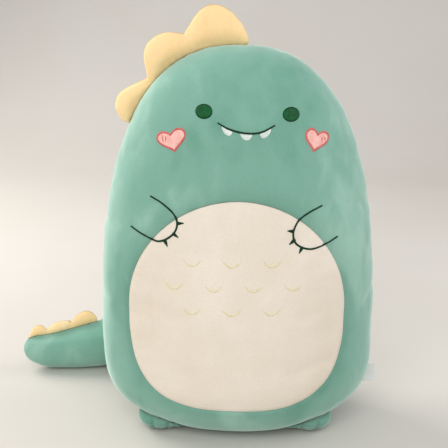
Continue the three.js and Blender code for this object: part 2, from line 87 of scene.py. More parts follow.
class Slot(Enum):
    """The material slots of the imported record."""

    GREEN_PLUSH = "green_plush"
    CREAM_PLUSH = "cream_plush"
    YELLOW_PLUSH = "yellow_plush"
    FILLING = "white_filling"
    DARK_THREAD = "dark_green_thread"
    WHITE_FELT = "white_felt"
    PINK_FELT = "pink_felt"
    ROSE_THREAD = "rose_thread"
    PALE_THREAD = "pale_thread"
    GREEN_THREAD = "green_thread"
    SATIN = "white_satin"


class Side(Enum):
    """The front or the back of the toy, as the sign of Y."""

    FRONT = -1
    BACK = 1


class Hand(Enum):
    """The two sides of the toy as the camera sees them, as the sign of X."""

    LEFT = -1
    RIGHT = 1


# ------------------------------------------------------------------ numbers and curves


def linear(color: str) -> tuple[float, float, float, float]:
    """The linear RGBA of a colour written as six hexadecimal digits."""
    parts = np.array([int(color[k : k + 2], 16) for k in (0, 2, 4)]) / 255
    values = np.where(parts <= 0.04045, parts / 12.92, ((parts + 0.055) / 1.055) ** 2.4)
    return (*(float(v) for v in values), 1.0)


def rounded(value: Array, power: float) -> Array:
    """The value's sign times its size to the power 2 / power, which squares off a circle."""
    return np.sign(value) * np.abs(value) ** (2 / power)


def clipped_root(value: Array, power: float) -> Array:
    """The power-th root of the value, which counts as no less than nought."""
    return np.clip(value, 0, None) ** (1 / power)


def spline(points: Sequence, places: Array, centripetal: bool = False) -> Array:
    """A Catmull-Rom curve through the points.

    Args:
        points: The points, one per row.
        places: Where to read it, from 0 at the first point to 1 at the last.
        centripetal: Whether the spans are timed by the square root of their length.

    Returns:
        One point for each place.
    """
    p = np.array(points, float)
    at = np.clip(places, 0, 1) * (len(p) - 1)
    i = np.minimum(at.astype(int), len(p) - 2)
    w = (at - i)[:, None]
    if centripetal:
        ends = np.vstack([2 * p[0] - p[1], p, 2 * p[-1] - p[-2]])
    else:
        ends = np.vstack([p[0], p, p[-1]])
    p0, p1, p2, p3 = ends[i], ends[i + 1], ends[i + 2], ends[i + 3]
    if centripetal:
        spans = ((p0, p1), (p1, p2), (p2, p3))
        t0, t1, t2 = (np.sqrt(np.linalg.norm(b - a, axis=1))[:, None] for a, b in spans)
        m1 = ((p1 - p0) / t0 - (p2 - p0) / (t0 + t1) + (p2 - p1) / t1) * t1
        m2 = ((p2 - p1) / t1 - (p3 - p1) / (t1 + t2) + (p3 - p2) / t2) * t1
    else:
        m1, m2 = (p2 - p0) / 2, (p3 - p1) / 2
    return p1 + m1 * w + (3 * (p2 - p1) - 2 * m1 - m2) * w**2 + (2 * (p1 - p2) + m1 + m2) * w**3


def lengths_along(line: Array) -> Array:
    """The distance along a line of points, from 0 at its first one."""
    return np.concatenate([[0], np.cumsum(np.linalg.norm(np.diff(line, axis=0), axis=1))])


def read_line(line: Array, distances: Array) -> Array:
    """The points of a line at distances along it."""
    along = lengths_along(line)
    return np.stack([np.interp(distances, along, line[:, k]) for k in range(line.shape[1])], axis=1)


def resampled(rows: Array, shares: Array) -> tuple[Array, Array, Array]:
    """Spaces the points of many lines again, each by its own length.

    Args:
        rows: Lines of points, lines x points x 3.
        shares: Shares of a line's length to read it at, from 0 to 1.

    Returns:
        The points, lines x shares x 3, the distance of each along its line, and each line's length.
    """
    steps = np.linalg.norm(np.diff(rows, axis=1), axis=2)
    along = np.concatenate([np.zeros((len(rows), 1)), np.cumsum(steps, axis=1)], axis=1)
    total = along[:, -1:]
    wanted = total * shares[None, :]
    below = np.clip((along[:, None, :] <= wanted[:, :, None]).sum(2) - 1, 0, rows.shape[1] - 2)
    start, end = np.take_along_axis(along, below, 1), np.take_along_axis(along, below + 1, 1)
    w = np.clip((wanted - start) / np.maximum(end - start, 1e-12), 0, 1)[:, :, None]
    first = np.take_along_axis(rows, below[:, :, None], 1)
    second = np.take_along_axis(rows, below[:, :, None] + 1, 1)
    return first + (second - first) * w, wanted, total[:, 0]


def solved(test: Rule, low: Array, high: Array) -> Array:
    """The place between low and high where the test turns from true to false, by halving."""
    low, high = low.astype(float).copy(), high.astype(float).copy()
    for _ in range(HALVINGS):
        middle = (low + high) / 2
        inside = test(middle)
        low, high = np.where(inside, middle, low), np.where(inside, high, middle)
    return (low + high) / 2


def waves(points: Array, size: float, height: float, seed: int) -> Array:
    """Soft random lumps: the mean of sine waves that run in seeded directions, of about one size.

    Args:
        points: Where the lumps are read, n x 3.
        size: The waves' length.
        height: The highest that the sum may stand.
        seed: Which set of waves.

    Returns:
        The height at each point.
    """
    draw = np.random.default_rng(SEED + seed)
    direction = draw.normal(size=(WAVES, 3))
    direction /= np.linalg.norm(direction, axis=1, keepdims=True)
    lengths = size * draw.uniform(0.7, 1.5, WAVES)
    phase = draw.uniform(0, TAU, WAVES)
    swell = np.sin(TAU * points @ (direction / lengths[:, None]).T + phase)
    return height * swell.mean(1) * 1.6


def dip(distance: Array, depth: float, width: float) -> Array:
    """A sewn-in seam's valley: minus the depth times a bell of the distance from the seam."""
    return -depth * np.exp(-((distance / width) ** 2))


def puckers(distance: Array, along: Array, height: float, spacing: float, reach: float) -> Array:
    """Small gathers that run square to a seam: a wave along it that dies away with distance."""
    drift = 1.3 * np.sin(along / spacing * 1.7) + 0.9 * np.sin(along / spacing * 0.61 + 1.0)
    fade = np.exp(-distance / reach) * (1 - np.exp(-distance / (0.2 * reach)))
    uneven = 0.6 + 0.4 * np.sin(along / spacing * 0.83 + 2.0)
    return height * fade * uneven * np.cos(TAU * along / spacing + drift)


# ------------------------------------------------------------------ meshes


def grid_faces(rows: int, columns: int, wrap: bool = False) -> Array:
    """The four-sided faces of a grid of points kept row by row, closed across its columns if wrap."""
    last = columns if wrap else columns - 1
    i, j = np.meshgrid(np.arange(rows - 1), np.arange(last), indexing="ij")
    k = (j + 1) % columns
    corners = [i * columns + j, i * columns + k, (i + 1) * columns + k, (i + 1) * columns + j]
    return np.stack(corners, axis=-1).reshape(-1, 4)


def outward(points: Array, faces: Array, centre: Optional[Array] = None) -> Array:
    """The faces, turned over together if most of them look towards the centre."""
    a, b, c = points[faces[:, 0]], points[faces[:, 1]], points[faces[:, 2]]
    normal = np.cross(b - a, c - a)
    middle = points.mean(0) if centre is None else centre
    return faces if (normal * (a - middle)).sum() > 0 else faces[:, ::-1]


def make_piece(name: str, points: Array, faces: Array) -> Piece:
    """A smooth mesh object from points and faces; a triangle may repeat its first or last corner."""
    mesh = bpy.data.meshes.new(name)
    if faces.shape[1] == 4:
        early, late = faces[:, 0] == faces[:, 1], faces[:, 2] == faces[:, 3]
        corners = faces[~(early | late)].tolist() + faces[early, 1:].tolist() + faces[late, :3].tolist()
    else:
        corners = faces.tolist()
    mesh.from_pydata(points.tolist(), [], corners)
    mesh.polygons.foreach_set("use_smooth", np.full(len(mesh.polygons), True))
    mesh.update()
    made = bpy.data.objects.new(name, mesh)
    bpy.context.scene.collection.objects.link(made)
    return made


def points_of(piece: Piece) -> Array:
    """The points of an object's own mesh, n x 3."""
    found = np.zeros(len(piece.data.vertices) * 3)
    piece.data.vertices.foreach_get("co", found)
    return found.reshape(-1, 3)


def normals_of(piece: Piece) -> Array:
    """The normals at an object's points, n x 3."""
    found = np.zeros(len(piece.data.vertices) * 3, np.float32)
    piece.data.vertex_normals.foreach_get("vector", found)
    return found.reshape(-1, 3).astype(float)


def place_points(piece: Piece, points: Array) -> None:
    """Moves an object's points."""
    piece.data.vertices.foreach_set("co", points.astype(np.float32).ravel())
    piece.data.update()


def apply_modifiers(piece: Piece) -> None:
    """Makes what the modifiers show the object's own mesh, and takes the modifiers off."""
    graph = bpy.context.evaluated_depsgraph_get()
    finished = bpy.data.meshes.new_from_object(piece.evaluated_get(graph))
    piece.modifiers.clear()
    old = piece.data
    piece.data = finished
    bpy.data.meshes.remove(old)


def discard(piece: Piece) -> None:
    """Removes a helper object and its mesh."""
    mesh = piece.data
    bpy.data.objects.remove(piece)
    bpy.data.meshes.remove(mesh)


def laid_on(points: Array, target: Piece, across: Optional[Side] = None) -> Array:
    """Moves points onto a target's surface.

    Args:
        points: The points, n x 3.
        target: The object to lie on.
        across: The side to come from along Y, or None to go to the nearest place.

    Returns:
        The moved points.
    """
    helper = make_piece("laid_helper", points, np.zeros((0, 3), int))
    wrap = helper.modifiers.new("lay", "SHRINKWRAP")
    wrap.target = target
    if across is None:
        wrap.wrap_method = "NEAREST_SURFACEPOINT"
    else:
        wrap.wrap_method = "PROJECT"
        wrap.use_project_x = wrap.use_project_z = False
        wrap.use_project_y = True
        wrap.use_negative_direction = across is Side.BACK
        wrap.use_positive_direction = across is Side.FRONT
    apply_modifiers(helper)
    moved = points_of(helper)
    discard(helper)
    return moved


def paint_seam_shade(piece: Piece, distance: Array, width: float = 0.0016, least: float | Array = 0.0) -> None:
    """Keeps how near each point is to a seam, from 0 to 1, for painted shade: the plush material darkens the
    pile there.

    Args:
        piece: The piece to mark.
        distance: Each point's distance from the seam.
        width: How far the seam's painted shade reaches.
        least: The least painted shade that a point gets.
    """
    near = np.maximum(np.exp(-((distance / width) ** 2)), least)
    # The seam attribute holds painted shade, which the plush material reads.
    attribute = piece.data.attributes.new("seam", "FLOAT", "POINT")
    attribute.data.foreach_set("value", near.astype(np.float32))


def thicken(piece: Piece, thickness: float) -> None:
    """Gives a sheet its thickness, inwards from the face that shows."""
    solid = piece.modifiers.new("thickness", "SOLIDIFY")
    solid.thickness = thickness
    solid.offset = -1.0
    solid.use_rim = True


def together(parts: Sequence) -> tuple[Array, Array]:
    """The points and faces of several meshes as one mesh's."""
    starts = np.cumsum([0] + [len(points) for points, _ in parts])
    faces = [corners + start for (_, corners), start in zip(parts, starts)]
    return np.vstack([points for points, _ in parts]), np.vstack(faces)


# ------------------------------------------------------------------ stuffing by cloth simulation


@dataclass
class Stuffing:
    """How hard a cover is stuffed: the settings of one short cloth simulation.

    Attributes:
        voxel: Size of the remeshed cloth's faces.
        pressure: Pressure of the filling.
        cap: The furthest that a point may end from where it started.
        slack: How much longer the cloth is than its form.
        frames: Steps of the simulation.
        levels: Steps of how firmly a point can be held.
    """

    voxel: float = 0.006
    pressure: float = 4.0
    cap: float = 0.005
    slack: float = 0.006
    frames: int = 20
    levels: int = 8

    def stuffed(self, name: str, points: Array, faces: Array, held: Rule) -> Piece:
        """Swells a closed form like cloth over filling, held back along its seams.

        Args:
            name: Name of the helper object.
            points: Points of the closed form, n x 3.
            faces: Its faces.
            held: Gives for points how firmly each is held, from 0 to 1.

        Returns:
            A helper object with the swollen form, to be discarded after use.
        """
        blank = make_piece(name, points, outward(points, faces))
        remesh = blank.modifiers.new("remesh", "REMESH")
        remesh.mode = "VOXEL"
        remesh.voxel_size = self.voxel
        apply_modifiers(blank)
        start = points_of(blank)
        pins = blank.vertex_groups.new(name="held")
        level = np.round(np.clip(held(start), 0, 1) * self.levels).astype(int)
        for k in range(1, self.levels + 1):
            pins.add(np.flatnonzero(level == k).tolist(), k / self.levels, "REPLACE")
        cloth = blank.modifiers.new("stuffing", "CLOTH")
        settings = cloth.settings
        settings.quality = 5
        settings.mass = 0.3
        settings.tension_stiffness = settings.compression_stiffness = 15
        settings.shear_stiffness = 5
        settings.bending_stiffness = 0.5
        settings.use_pressure = True
        settings.uniform_pressure_force = self.pressure
        settings.shrink_min = -self.slack
        settings.vertex_group_mass = "held"
        settings.pin_stiffness = 1.0
        settings.effector_weights.gravity = 0
        cloth.collision_settings.use_collision = False
        cloth.collision_settings.use_self_collision = False
        cloth.point_cache.frame_start = 1
        cloth.point_cache.frame_end = self.frames
        for frame in range(1, self.frames + 1):
            bpy.context.scene.frame_set(frame)
        apply_modifiers(blank)
        moved = points_of(blank) - start
        far = np.linalg.norm(moved, axis=1, keepdims=True)
        shown = moved * np.tanh(far / self.cap) * self.cap / np.maximum(far, 1e-9)
        place_points(blank, start + shown)
        bpy.context.scene.frame_set(1)
        smooth = blank.modifiers.new("smooth", "SMOOTH")
        smooth.iterations = 2
        rounder = blank.modifiers.new("soften", "SUBSURF")
        rounder.levels = rounder.render_levels = 1
        apply_modifiers(blank)
        furthest = float(np.linalg.norm(shown, axis=1).max())
        LOG.info("%s swollen by %.1f mm at most", name, 1000 * furthest)
        return blank


# ------------------------------------------------------------------ material effects


class Tree:
    """A node tree that is filled in by naming each node's kind, settings and inputs."""

    def __init__(self, tree: bpy.types.NodeTree) -> None:
        """Starts on an empty tree."""
        self.tree = tree
        self.tree.nodes.clear()

    def add(self, kind: str, inputs: Optional[dict] = None, **settings: object) -> bpy.types.Node:
        """Adds a node.

        Args:
            kind: The node's type, such as ShaderNodeMix.
            inputs: Values or sockets by the input's name or number.
            settings: The node's own properties.

        Returns:
            The node.
        """
        node = self.tree.nodes.new(kind)
        for name, value in settings.items():
            setattr(node, name, value)
        for name, value in (inputs or {}).items():
            if isinstance(value, Socket):
                self.tree.links.new(value, node.inputs[name])
            else:
                node.inputs[name].default_value = value
        return node

    def noise(self, vector: object, scale: object, detail: float, distortion: float = 0.0) -> Socket:
        """Soft noise from 0 to 1."""
        inputs = {"Vector": vector, "Scale": scale, "Detail": detail, "Distortion": distortion}
        return self.add("ShaderNodeTexNoise", inputs).outputs["Fac"]

    def math(self, operation: str, a: object, b: object = 0.0) -> Socket:
        """One sum of two values."""
        return self.add("ShaderNodeMath", {0: a, 1: b}, operation=operation).outputs[0]

    def ranged(self, value: object, low: float, high: float, to_low: float, to_high: float) -> Socket:
        """A value carried smoothly from one range to another."""
        inputs = {"Value": value, "From Min": low, "From Max": high, "To Min": to_low, "To Max": to_high}
        node = self.add("ShaderNodeMapRange", inputs, interpolation_type="SMOOTHSTEP")
        return node.outputs["Result"]

    def mix(self, share: object, a: object, b: object, blend: str = "MIX") -> Socket:
        """Two colours mixed by a share."""
        node = self.add("ShaderNodeMix", {0: share, 6: a, 7: b}, data_type="RGBA", blend_type=blend)
        return node.outputs[2]

    def finish(self, inputs: dict, height: Socket, strength: float, depth: float) -> None:
        """Ends a material in its shader and a bump.

        Args:
            inputs: The shader's inputs by name.
            height: Where the bump is high.
            strength: The bump's strength.
            depth: The bump's height in metres.
        """
        bump = self.add("ShaderNodeBump", {"Height": height, "Strength": strength, "Distance": depth})
        shader = self.add("ShaderNodeBsdfPrincipled", {**inputs, "Normal": bump.outputs[0]})
        self.add("ShaderNodeOutputMaterial", {"Surface": shader.outputs[0]})


def group_tree(name: str, inputs: dict[str, object]) -> Tree:
    """A shader node group with named inputs, that gives a colour, a roughness and a height.

    Args:
        name: The group's name.
        inputs: Default values by name: a number, a colour, or None for a vector.

    Returns:
        Its tree, with a group input node named in and a group output node named out.
    """
    group = bpy.data.node_groups.new(name, "ShaderNodeTree")
    for key, value in inputs.items():
        shown = "Vector" if value is None else "Float" if isinstance(value, float) else "Color"
        kind = f"NodeSocket{shown}"
        made = group.interface.new_socket(name=key, in_out="INPUT", socket_type=kind)
        if value is not None:
            made.default_value = value
    for key, kind in (("Color", "Color"), ("Roughness", "Float"), ("Height", "Float")):
        group.interface.new_socket(name=key, in_out="OUTPUT", socket_type=f"NodeSocket{kind}")
    tree = Tree(group)
    tree.add("NodeGroupInput").name = "in"
    tree.add("NodeGroupOutput").name = "out"
    return tree


def close_group(tree: Tree, results: dict[str, Socket]) -> bpy.types.NodeTree:
    """Joins the results to the group's outputs and gives the finished group."""
    for key, value in results.items():
        tree.tree.links.new(value, tree.tree.nodes["out"].inputs[key])
    return tree.tree


def brushed_pile_group() -> bpy.types.NodeTree:
    """Colour and height of short brushed pile.

    Broad soft patches where the pile lies the other way are deeper or paler than the base colour, a
    middle noise breaks them up, and a fine noise stands for the fibre tips. Along seams the Seam input
    mixes the colour towards a dimmed deep colour: painted shade. The height is the tips' own noise on
    top of small tufts.
    """
    inputs = {
        "Vector": None,
        "Base": (0.5, 0.5, 0.5, 1.0),
        "Deep": (0.4, 0.4, 0.4, 1.0),
        "Pale": (0.6, 0.6, 0.6, 1.0),
        "Patches": 0.5,
        "Patch Scale": 9.0,
        "Tip Scale": 1300.0,
        "Seam": 0.0,
    }
    tree = group_tree("brushed_pile", inputs)
    given = tree.tree.nodes["in"].outputs
    vector = given["Vector"]
    brushed = {"Vector": vector, "Scale": (1.0, 1.0, 0.55), "Rotation": (0.2, 0.5, 0.1)}
    stroke = tree.add("ShaderNodeMapping", brushed)
    broad = tree.noise(stroke.outputs[0], given["Patch Scale"], 3.0, 0.7)
    middle_scale = tree.math("MULTIPLY", given["Patch Scale"], 4.3)
    middle = tree.noise(stroke.outputs[0], middle_scale, 4.0, 0.4)
    both = tree.math("ADD", tree.math("MULTIPLY", broad, 0.72), tree.math("MULTIPLY", middle, 0.28))
    deep = tree.math("MULTIPLY", tree.ranged(both, 0.5, 0.3, 0.0, 1.0), given["Patches"])
    pale = tree.math("MULTIPLY", tree.ranged(both, 0.5, 0.68, 0.0, 1.0), given["Patches"])
    color = tree.mix(deep, given["Base"], given["Deep"])
    color = tree.mix(pale, color, given["Pale"])
    tips = tree.noise(vector, given["Tip Scale"], 3.0)
    fleck = tree.ranged(tips, 0.3, 0.7, 0.93, 1.06)
    grain = tree.add("ShaderNodeCombineColor", {"Red": fleck, "Green": fleck, "Blue": fleck}).outputs[0]
    color = tree.mix(1.0, color, grain, "MULTIPLY")
    # Painted shade: near seams the colour is mixed towards the deep colour dimmed by about half.
    shaded = tree.mix(1.0, given["Deep"], (0.45, 0.5, 0.48, 1.0), "MULTIPLY")
    color = tree.mix(tree.math("MULTIPLY", given["Seam"], 0.75), color, shaded)
    tuft_scale = tree.math("MULTIPLY", given["Tip Scale"], 0.45)
    tufts = tree.add("ShaderNodeTexVoronoi", {"Vector": vector, "Scale": tuft_scale, "Randomness": 1.0})
    tuft = tree.math("MULTIPLY", tufts.outputs["Distance"], -0.5)
    height = tree.math("ADD", tree.math("MULTIPLY", tips, 0.6), tuft)
    rough = tree.ranged(tips, 0.3, 0.7, 0.95, 0.82)
    return close_group(tree, {"Color": color, "Roughness": rough, "Height": height})


def twisted_thread_group() -> bpy.types.NodeTree:
    """Colour, roughness and height of shiny embroidery thread: random streaks of paler and deeper strands,
    darkest where the strands' bump is low, which is partly painted shade between strands.
    """
    inputs = {
        "Vector": None,
        "Base": (0.5, 0.5, 0.5, 1.0),
        "Deep": (0.3, 0.3, 0.3, 1.0),
        "Strand Scale": 900.0,
    }
    tree = group_tree("twisted_thread", inputs)
    given = tree.tree.nodes["in"].outputs
    strands = tree.noise(given["Vector"], given["Strand Scale"], 2.0, 0.3)
    broad_scale = tree.math("MULTIPLY", given["Strand Scale"], 0.16)
    broad = tree.noise(given["Vector"], broad_scale, 2.0)
    # Deeper colour where strands and broad noise are low: partly random streaks, partly painted shade in the
    # grooves between strands, where the bump is low too.
    share = tree.ranged(tree.math("MULTIPLY", strands, broad), 0.18, 0.32, 0.75, 0.0)
    color = tree.mix(share, given["Base"], given["Deep"])
    rough = tree.ranged(strands, 0.3, 0.7, 0.38, 0.62)
    return close_group(tree, {"Color": color, "Roughness": rough, "Height": strands})


class Effects:
    """The shared node groups, each built once."""

    def __init__(self) -> None:
        """Builds the groups."""
        self.pile = brushed_pile_group()
        self.thread = twisted_thread_group()


def new_material(name: str) -> tuple[bpy.types.Material, Tree, Socket]:
    """A material, its tree, and the place on the object that the tree reads from."""
    material = bpy.data.materials.new(name)
    material.use_nodes = True
    tree = Tree(material.node_tree)
    return material, tree, tree.add("ShaderNodeTexCoord").outputs["Object"]


@dataclass(frozen=True)
class PlushFinish:
    """Short, dense, brushed pile on a knit, as soft as velvet.

    Attributes:
        name: The material's name.
        base: The usual colour, as hexadecimal digits.
        deep: The colour where the pile lies away; dimmed, it is also the painted shade along seams.
        pale: The colour where the pile stands up.
        glow: The colour of the fibre tips seen from the side.
        patches: How strong the patches are.
        patch_scale: Patches per metre, roughly.
        sheen: Weight of the fibre tips' sheen.
    """

    name: str
    base: str
    deep: str
    pale: str
    glow: str
    patches: float = 0.6
    patch_scale: float = 9.0
    sheen: float = 1.0

    def material(self, effects: Effects) -> bpy.types.Material:
        """Builds the material."""
        made, tree, place = new_material(self.name)
        # Reads the seam attribute: painted shade along the seams, darkening the pile there.
        seam = tree.add("ShaderNodeAttribute", attribute_name="seam")
        given = {
            "Vector": place,
            "Seam": seam.outputs["Fac"],
            "Base": linear(self.base),
            "Deep": linear(self.deep),
            "Pale": linear(self.pale),
            "Patches": self.patches,
            "Patch Scale": self.patch_scale,
        }
        pile = tree.add("ShaderNodeGroup", given, node_tree=effects.pile).outputs
        inputs = {
            "Base Color": pile["Color"],
            "Roughness": pile["Roughness"],
            "Specular IOR Level": 0.15,
            "Sheen Weight": self.sheen,
            "Sheen Roughness": 0.42,
            "Sheen Tint": linear(self.glow),
        }
        tree.finish(inputs, pile["Height"], 0.3, 0.0004)
        return made


@dataclass(frozen=True)
class ThreadFinish:
    """Rayon embroidery thread: a soft satin shine on each strand.

    Attributes:
        name: The material's name.
        base: The thread's colour, as hexadecimal digits.
        deep: The colour between strands: partly painted shade in the grooves, partly random streaks.
        strand_scale: Streaks per metre, roughly.
    """

    name: str
    base: str
    deep: str
    strand_scale: float = 900.0

    def material(self, effects: Effects) -> bpy.types.Material:
        """Builds the material."""
        made, tree, place = new_material(self.name)
        given = {
            "Vector": place,
            "Base": linear(self.base),
            "Deep": linear(self.deep),
            "Strand Scale": self.strand_scale,
        }
        thread = tree.add("ShaderNodeGroup", given, node_tree=effects.thread).outputs
        inputs = {
            "Base Color": thread["Color"],
            "Roughness": thread["Roughness"],
            "Specular IOR Level": 0.22,
            "Sheen Weight": 0.06,
            "Sheen Roughness": 0.4,
        }
        tree.finish(inputs, thread["Height"], 0.3, 0.0002)
        return made


@dataclass(frozen=True)
class FillingFinish:
    """Loose white polyester fibre.

    Attributes:
        name: The material's name.
        base: The fibre's colour, as hexadecimal digits.
    """

    name: str
    base: str

    def material(self, effects: Effects) -> bpy.types.Material:
        """Builds the material."""
        made, tree, place = new_material(self.name)
        clumps = tree.noise(place, 45.0, 6.0, 1.5)
        # Painted shade: the hollows between the fibre clumps are greyed.
        hollow_shade = tree.ranged(clumps, 0.35, 0.6, 0.25, 0.0)
        shade = tree.mix(hollow_shade, linear(self.base), linear("cfcdc6"))
        tree.finish({"Base Color": shade, "Roughness": 0.95, "Sheen Weight": 0.5}, clumps, 0.6, 0.003)
        return made


@dataclass(frozen=True)
class SatinFinish:
    """Woven satin ribbon: fine crossing ribs and a soft shine.

    Attributes:
        name: The material's name.
        base: The ribbon's colour, as hexadecimal digits.
        ribs: Ribs per metre.
    """

    name: str
    base: str
    ribs: float = 2500.0

    def material(self, effects: Effects) -> bpy.types.Material:
        """Builds the material."""
        made, tree, place = new_material(self.name)
        woven = {"Vector": place, "Scale": self.ribs / 6, "Distortion": 0.4}
        rib = tree.add("ShaderNodeTexWave", woven, bands_direction="Z").outputs["Fac"]
        # Painted shade: the valleys between the ribs are greyed.
        shade = tree.mix(tree.ranged(rib, 0.2, 0.8, 0.12, 0.0), linear(self.base), linear("c9ced6"))
        tree.finish({"Base Color": shade, "Roughness": 0.4, "Sheen Weight": 0.3}, rib, 0.25, 0.0002)
        return made


class Wardrobe:
    """Every finish of the toy, built once and handed out by slot."""

    def __init__(self) -> None:
        """Builds the materials."""
        effects = Effects()
        finishes = {
            Slot.GREEN_PLUSH: PlushFinish(
                "green_velvet_knit", "7caa99", "619783", "9fc6b6", "dcefe7", 0.75, 8.0
            ),
            Slot.CREAM_PLUSH: PlushFinish(
                "cream_velvet_knit", "e4d9c9", "dccebb", "ece3d7", "fff9f1", 0.6, 8.0, 0.35
            ),
            Slot.YELLOW_PLUSH: PlushFinish(
                "yellow_velvet_knit", "fdd9a2", "f7c98b", "ffe4b8", "fff6dd", 0.7, 14.0, 0.5
            ),
            Slot.FILLING: FillingFinish("white_fibre", "f4f3ef"),
            Slot.DARK_THREAD: ThreadFinish("dark_green_satin_stitch", "123f2a", "0a2a1b"),
            Slot.WHITE_FELT: ThreadFinish("white_satin_stitch", "e6ebe7", "c6d0ca", 700.0),
            Slot.PINK_FELT: ThreadFinish("pink_satin_stitch", "f3c2b9", "eaa89e", 700.0),
            Slot.ROSE_THREAD: ThreadFinish("rose_satin_stitch", "e0817a", "c8655f"),
            Slot.PALE_THREAD: ThreadFinish("pale_satin_stitch", "ebe1be", "ddd1a6"),
            Slot.GREEN_THREAD: ThreadFinish("green_sewing_thread", "66a088", "4d8670"),
            Slot.SATIN: SatinFinish("white_satin_ribbon", "f4f4f2"),
        }
        self.materials = {slot: finish.material(effects) for slot, finish in finishes.items()}
        self.eye = ThreadFinish("eye_green_satin_stitch", "0f5f2f", "0a4521").material(effects)

    def dress(self, piece: Piece, slot: Slot, body: str, node: str) -> None:
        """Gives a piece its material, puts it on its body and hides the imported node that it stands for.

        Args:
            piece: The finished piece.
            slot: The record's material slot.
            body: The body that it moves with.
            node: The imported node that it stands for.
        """
        if not piece.data.materials:
            piece.data.materials.append(self.materials[slot])
        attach(piece, body)
        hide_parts(node)
        LOG.info("%s: %d faces, on %s", piece.name, len(piece.data.polygons), body)

    def dress_all(self, pieces: Sequence, slot: Slot, body: str, nodes: Sequence) -> None:
        """Dresses padded covers and, as the last piece, the filling inside them.

        Args:
            pieces: The covers, then the filling.
            slot: The covers' material slot.
            body: The body that they move with.
            nodes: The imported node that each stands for.
        """
        slots = [slot] * (len(pieces) - 1) + [Slot.FILLING]
        for piece, own, node in zip(pieces, slots, nodes):
            self.dress(piece, own, body, node)


# ------------------------------------------------------------------ the body


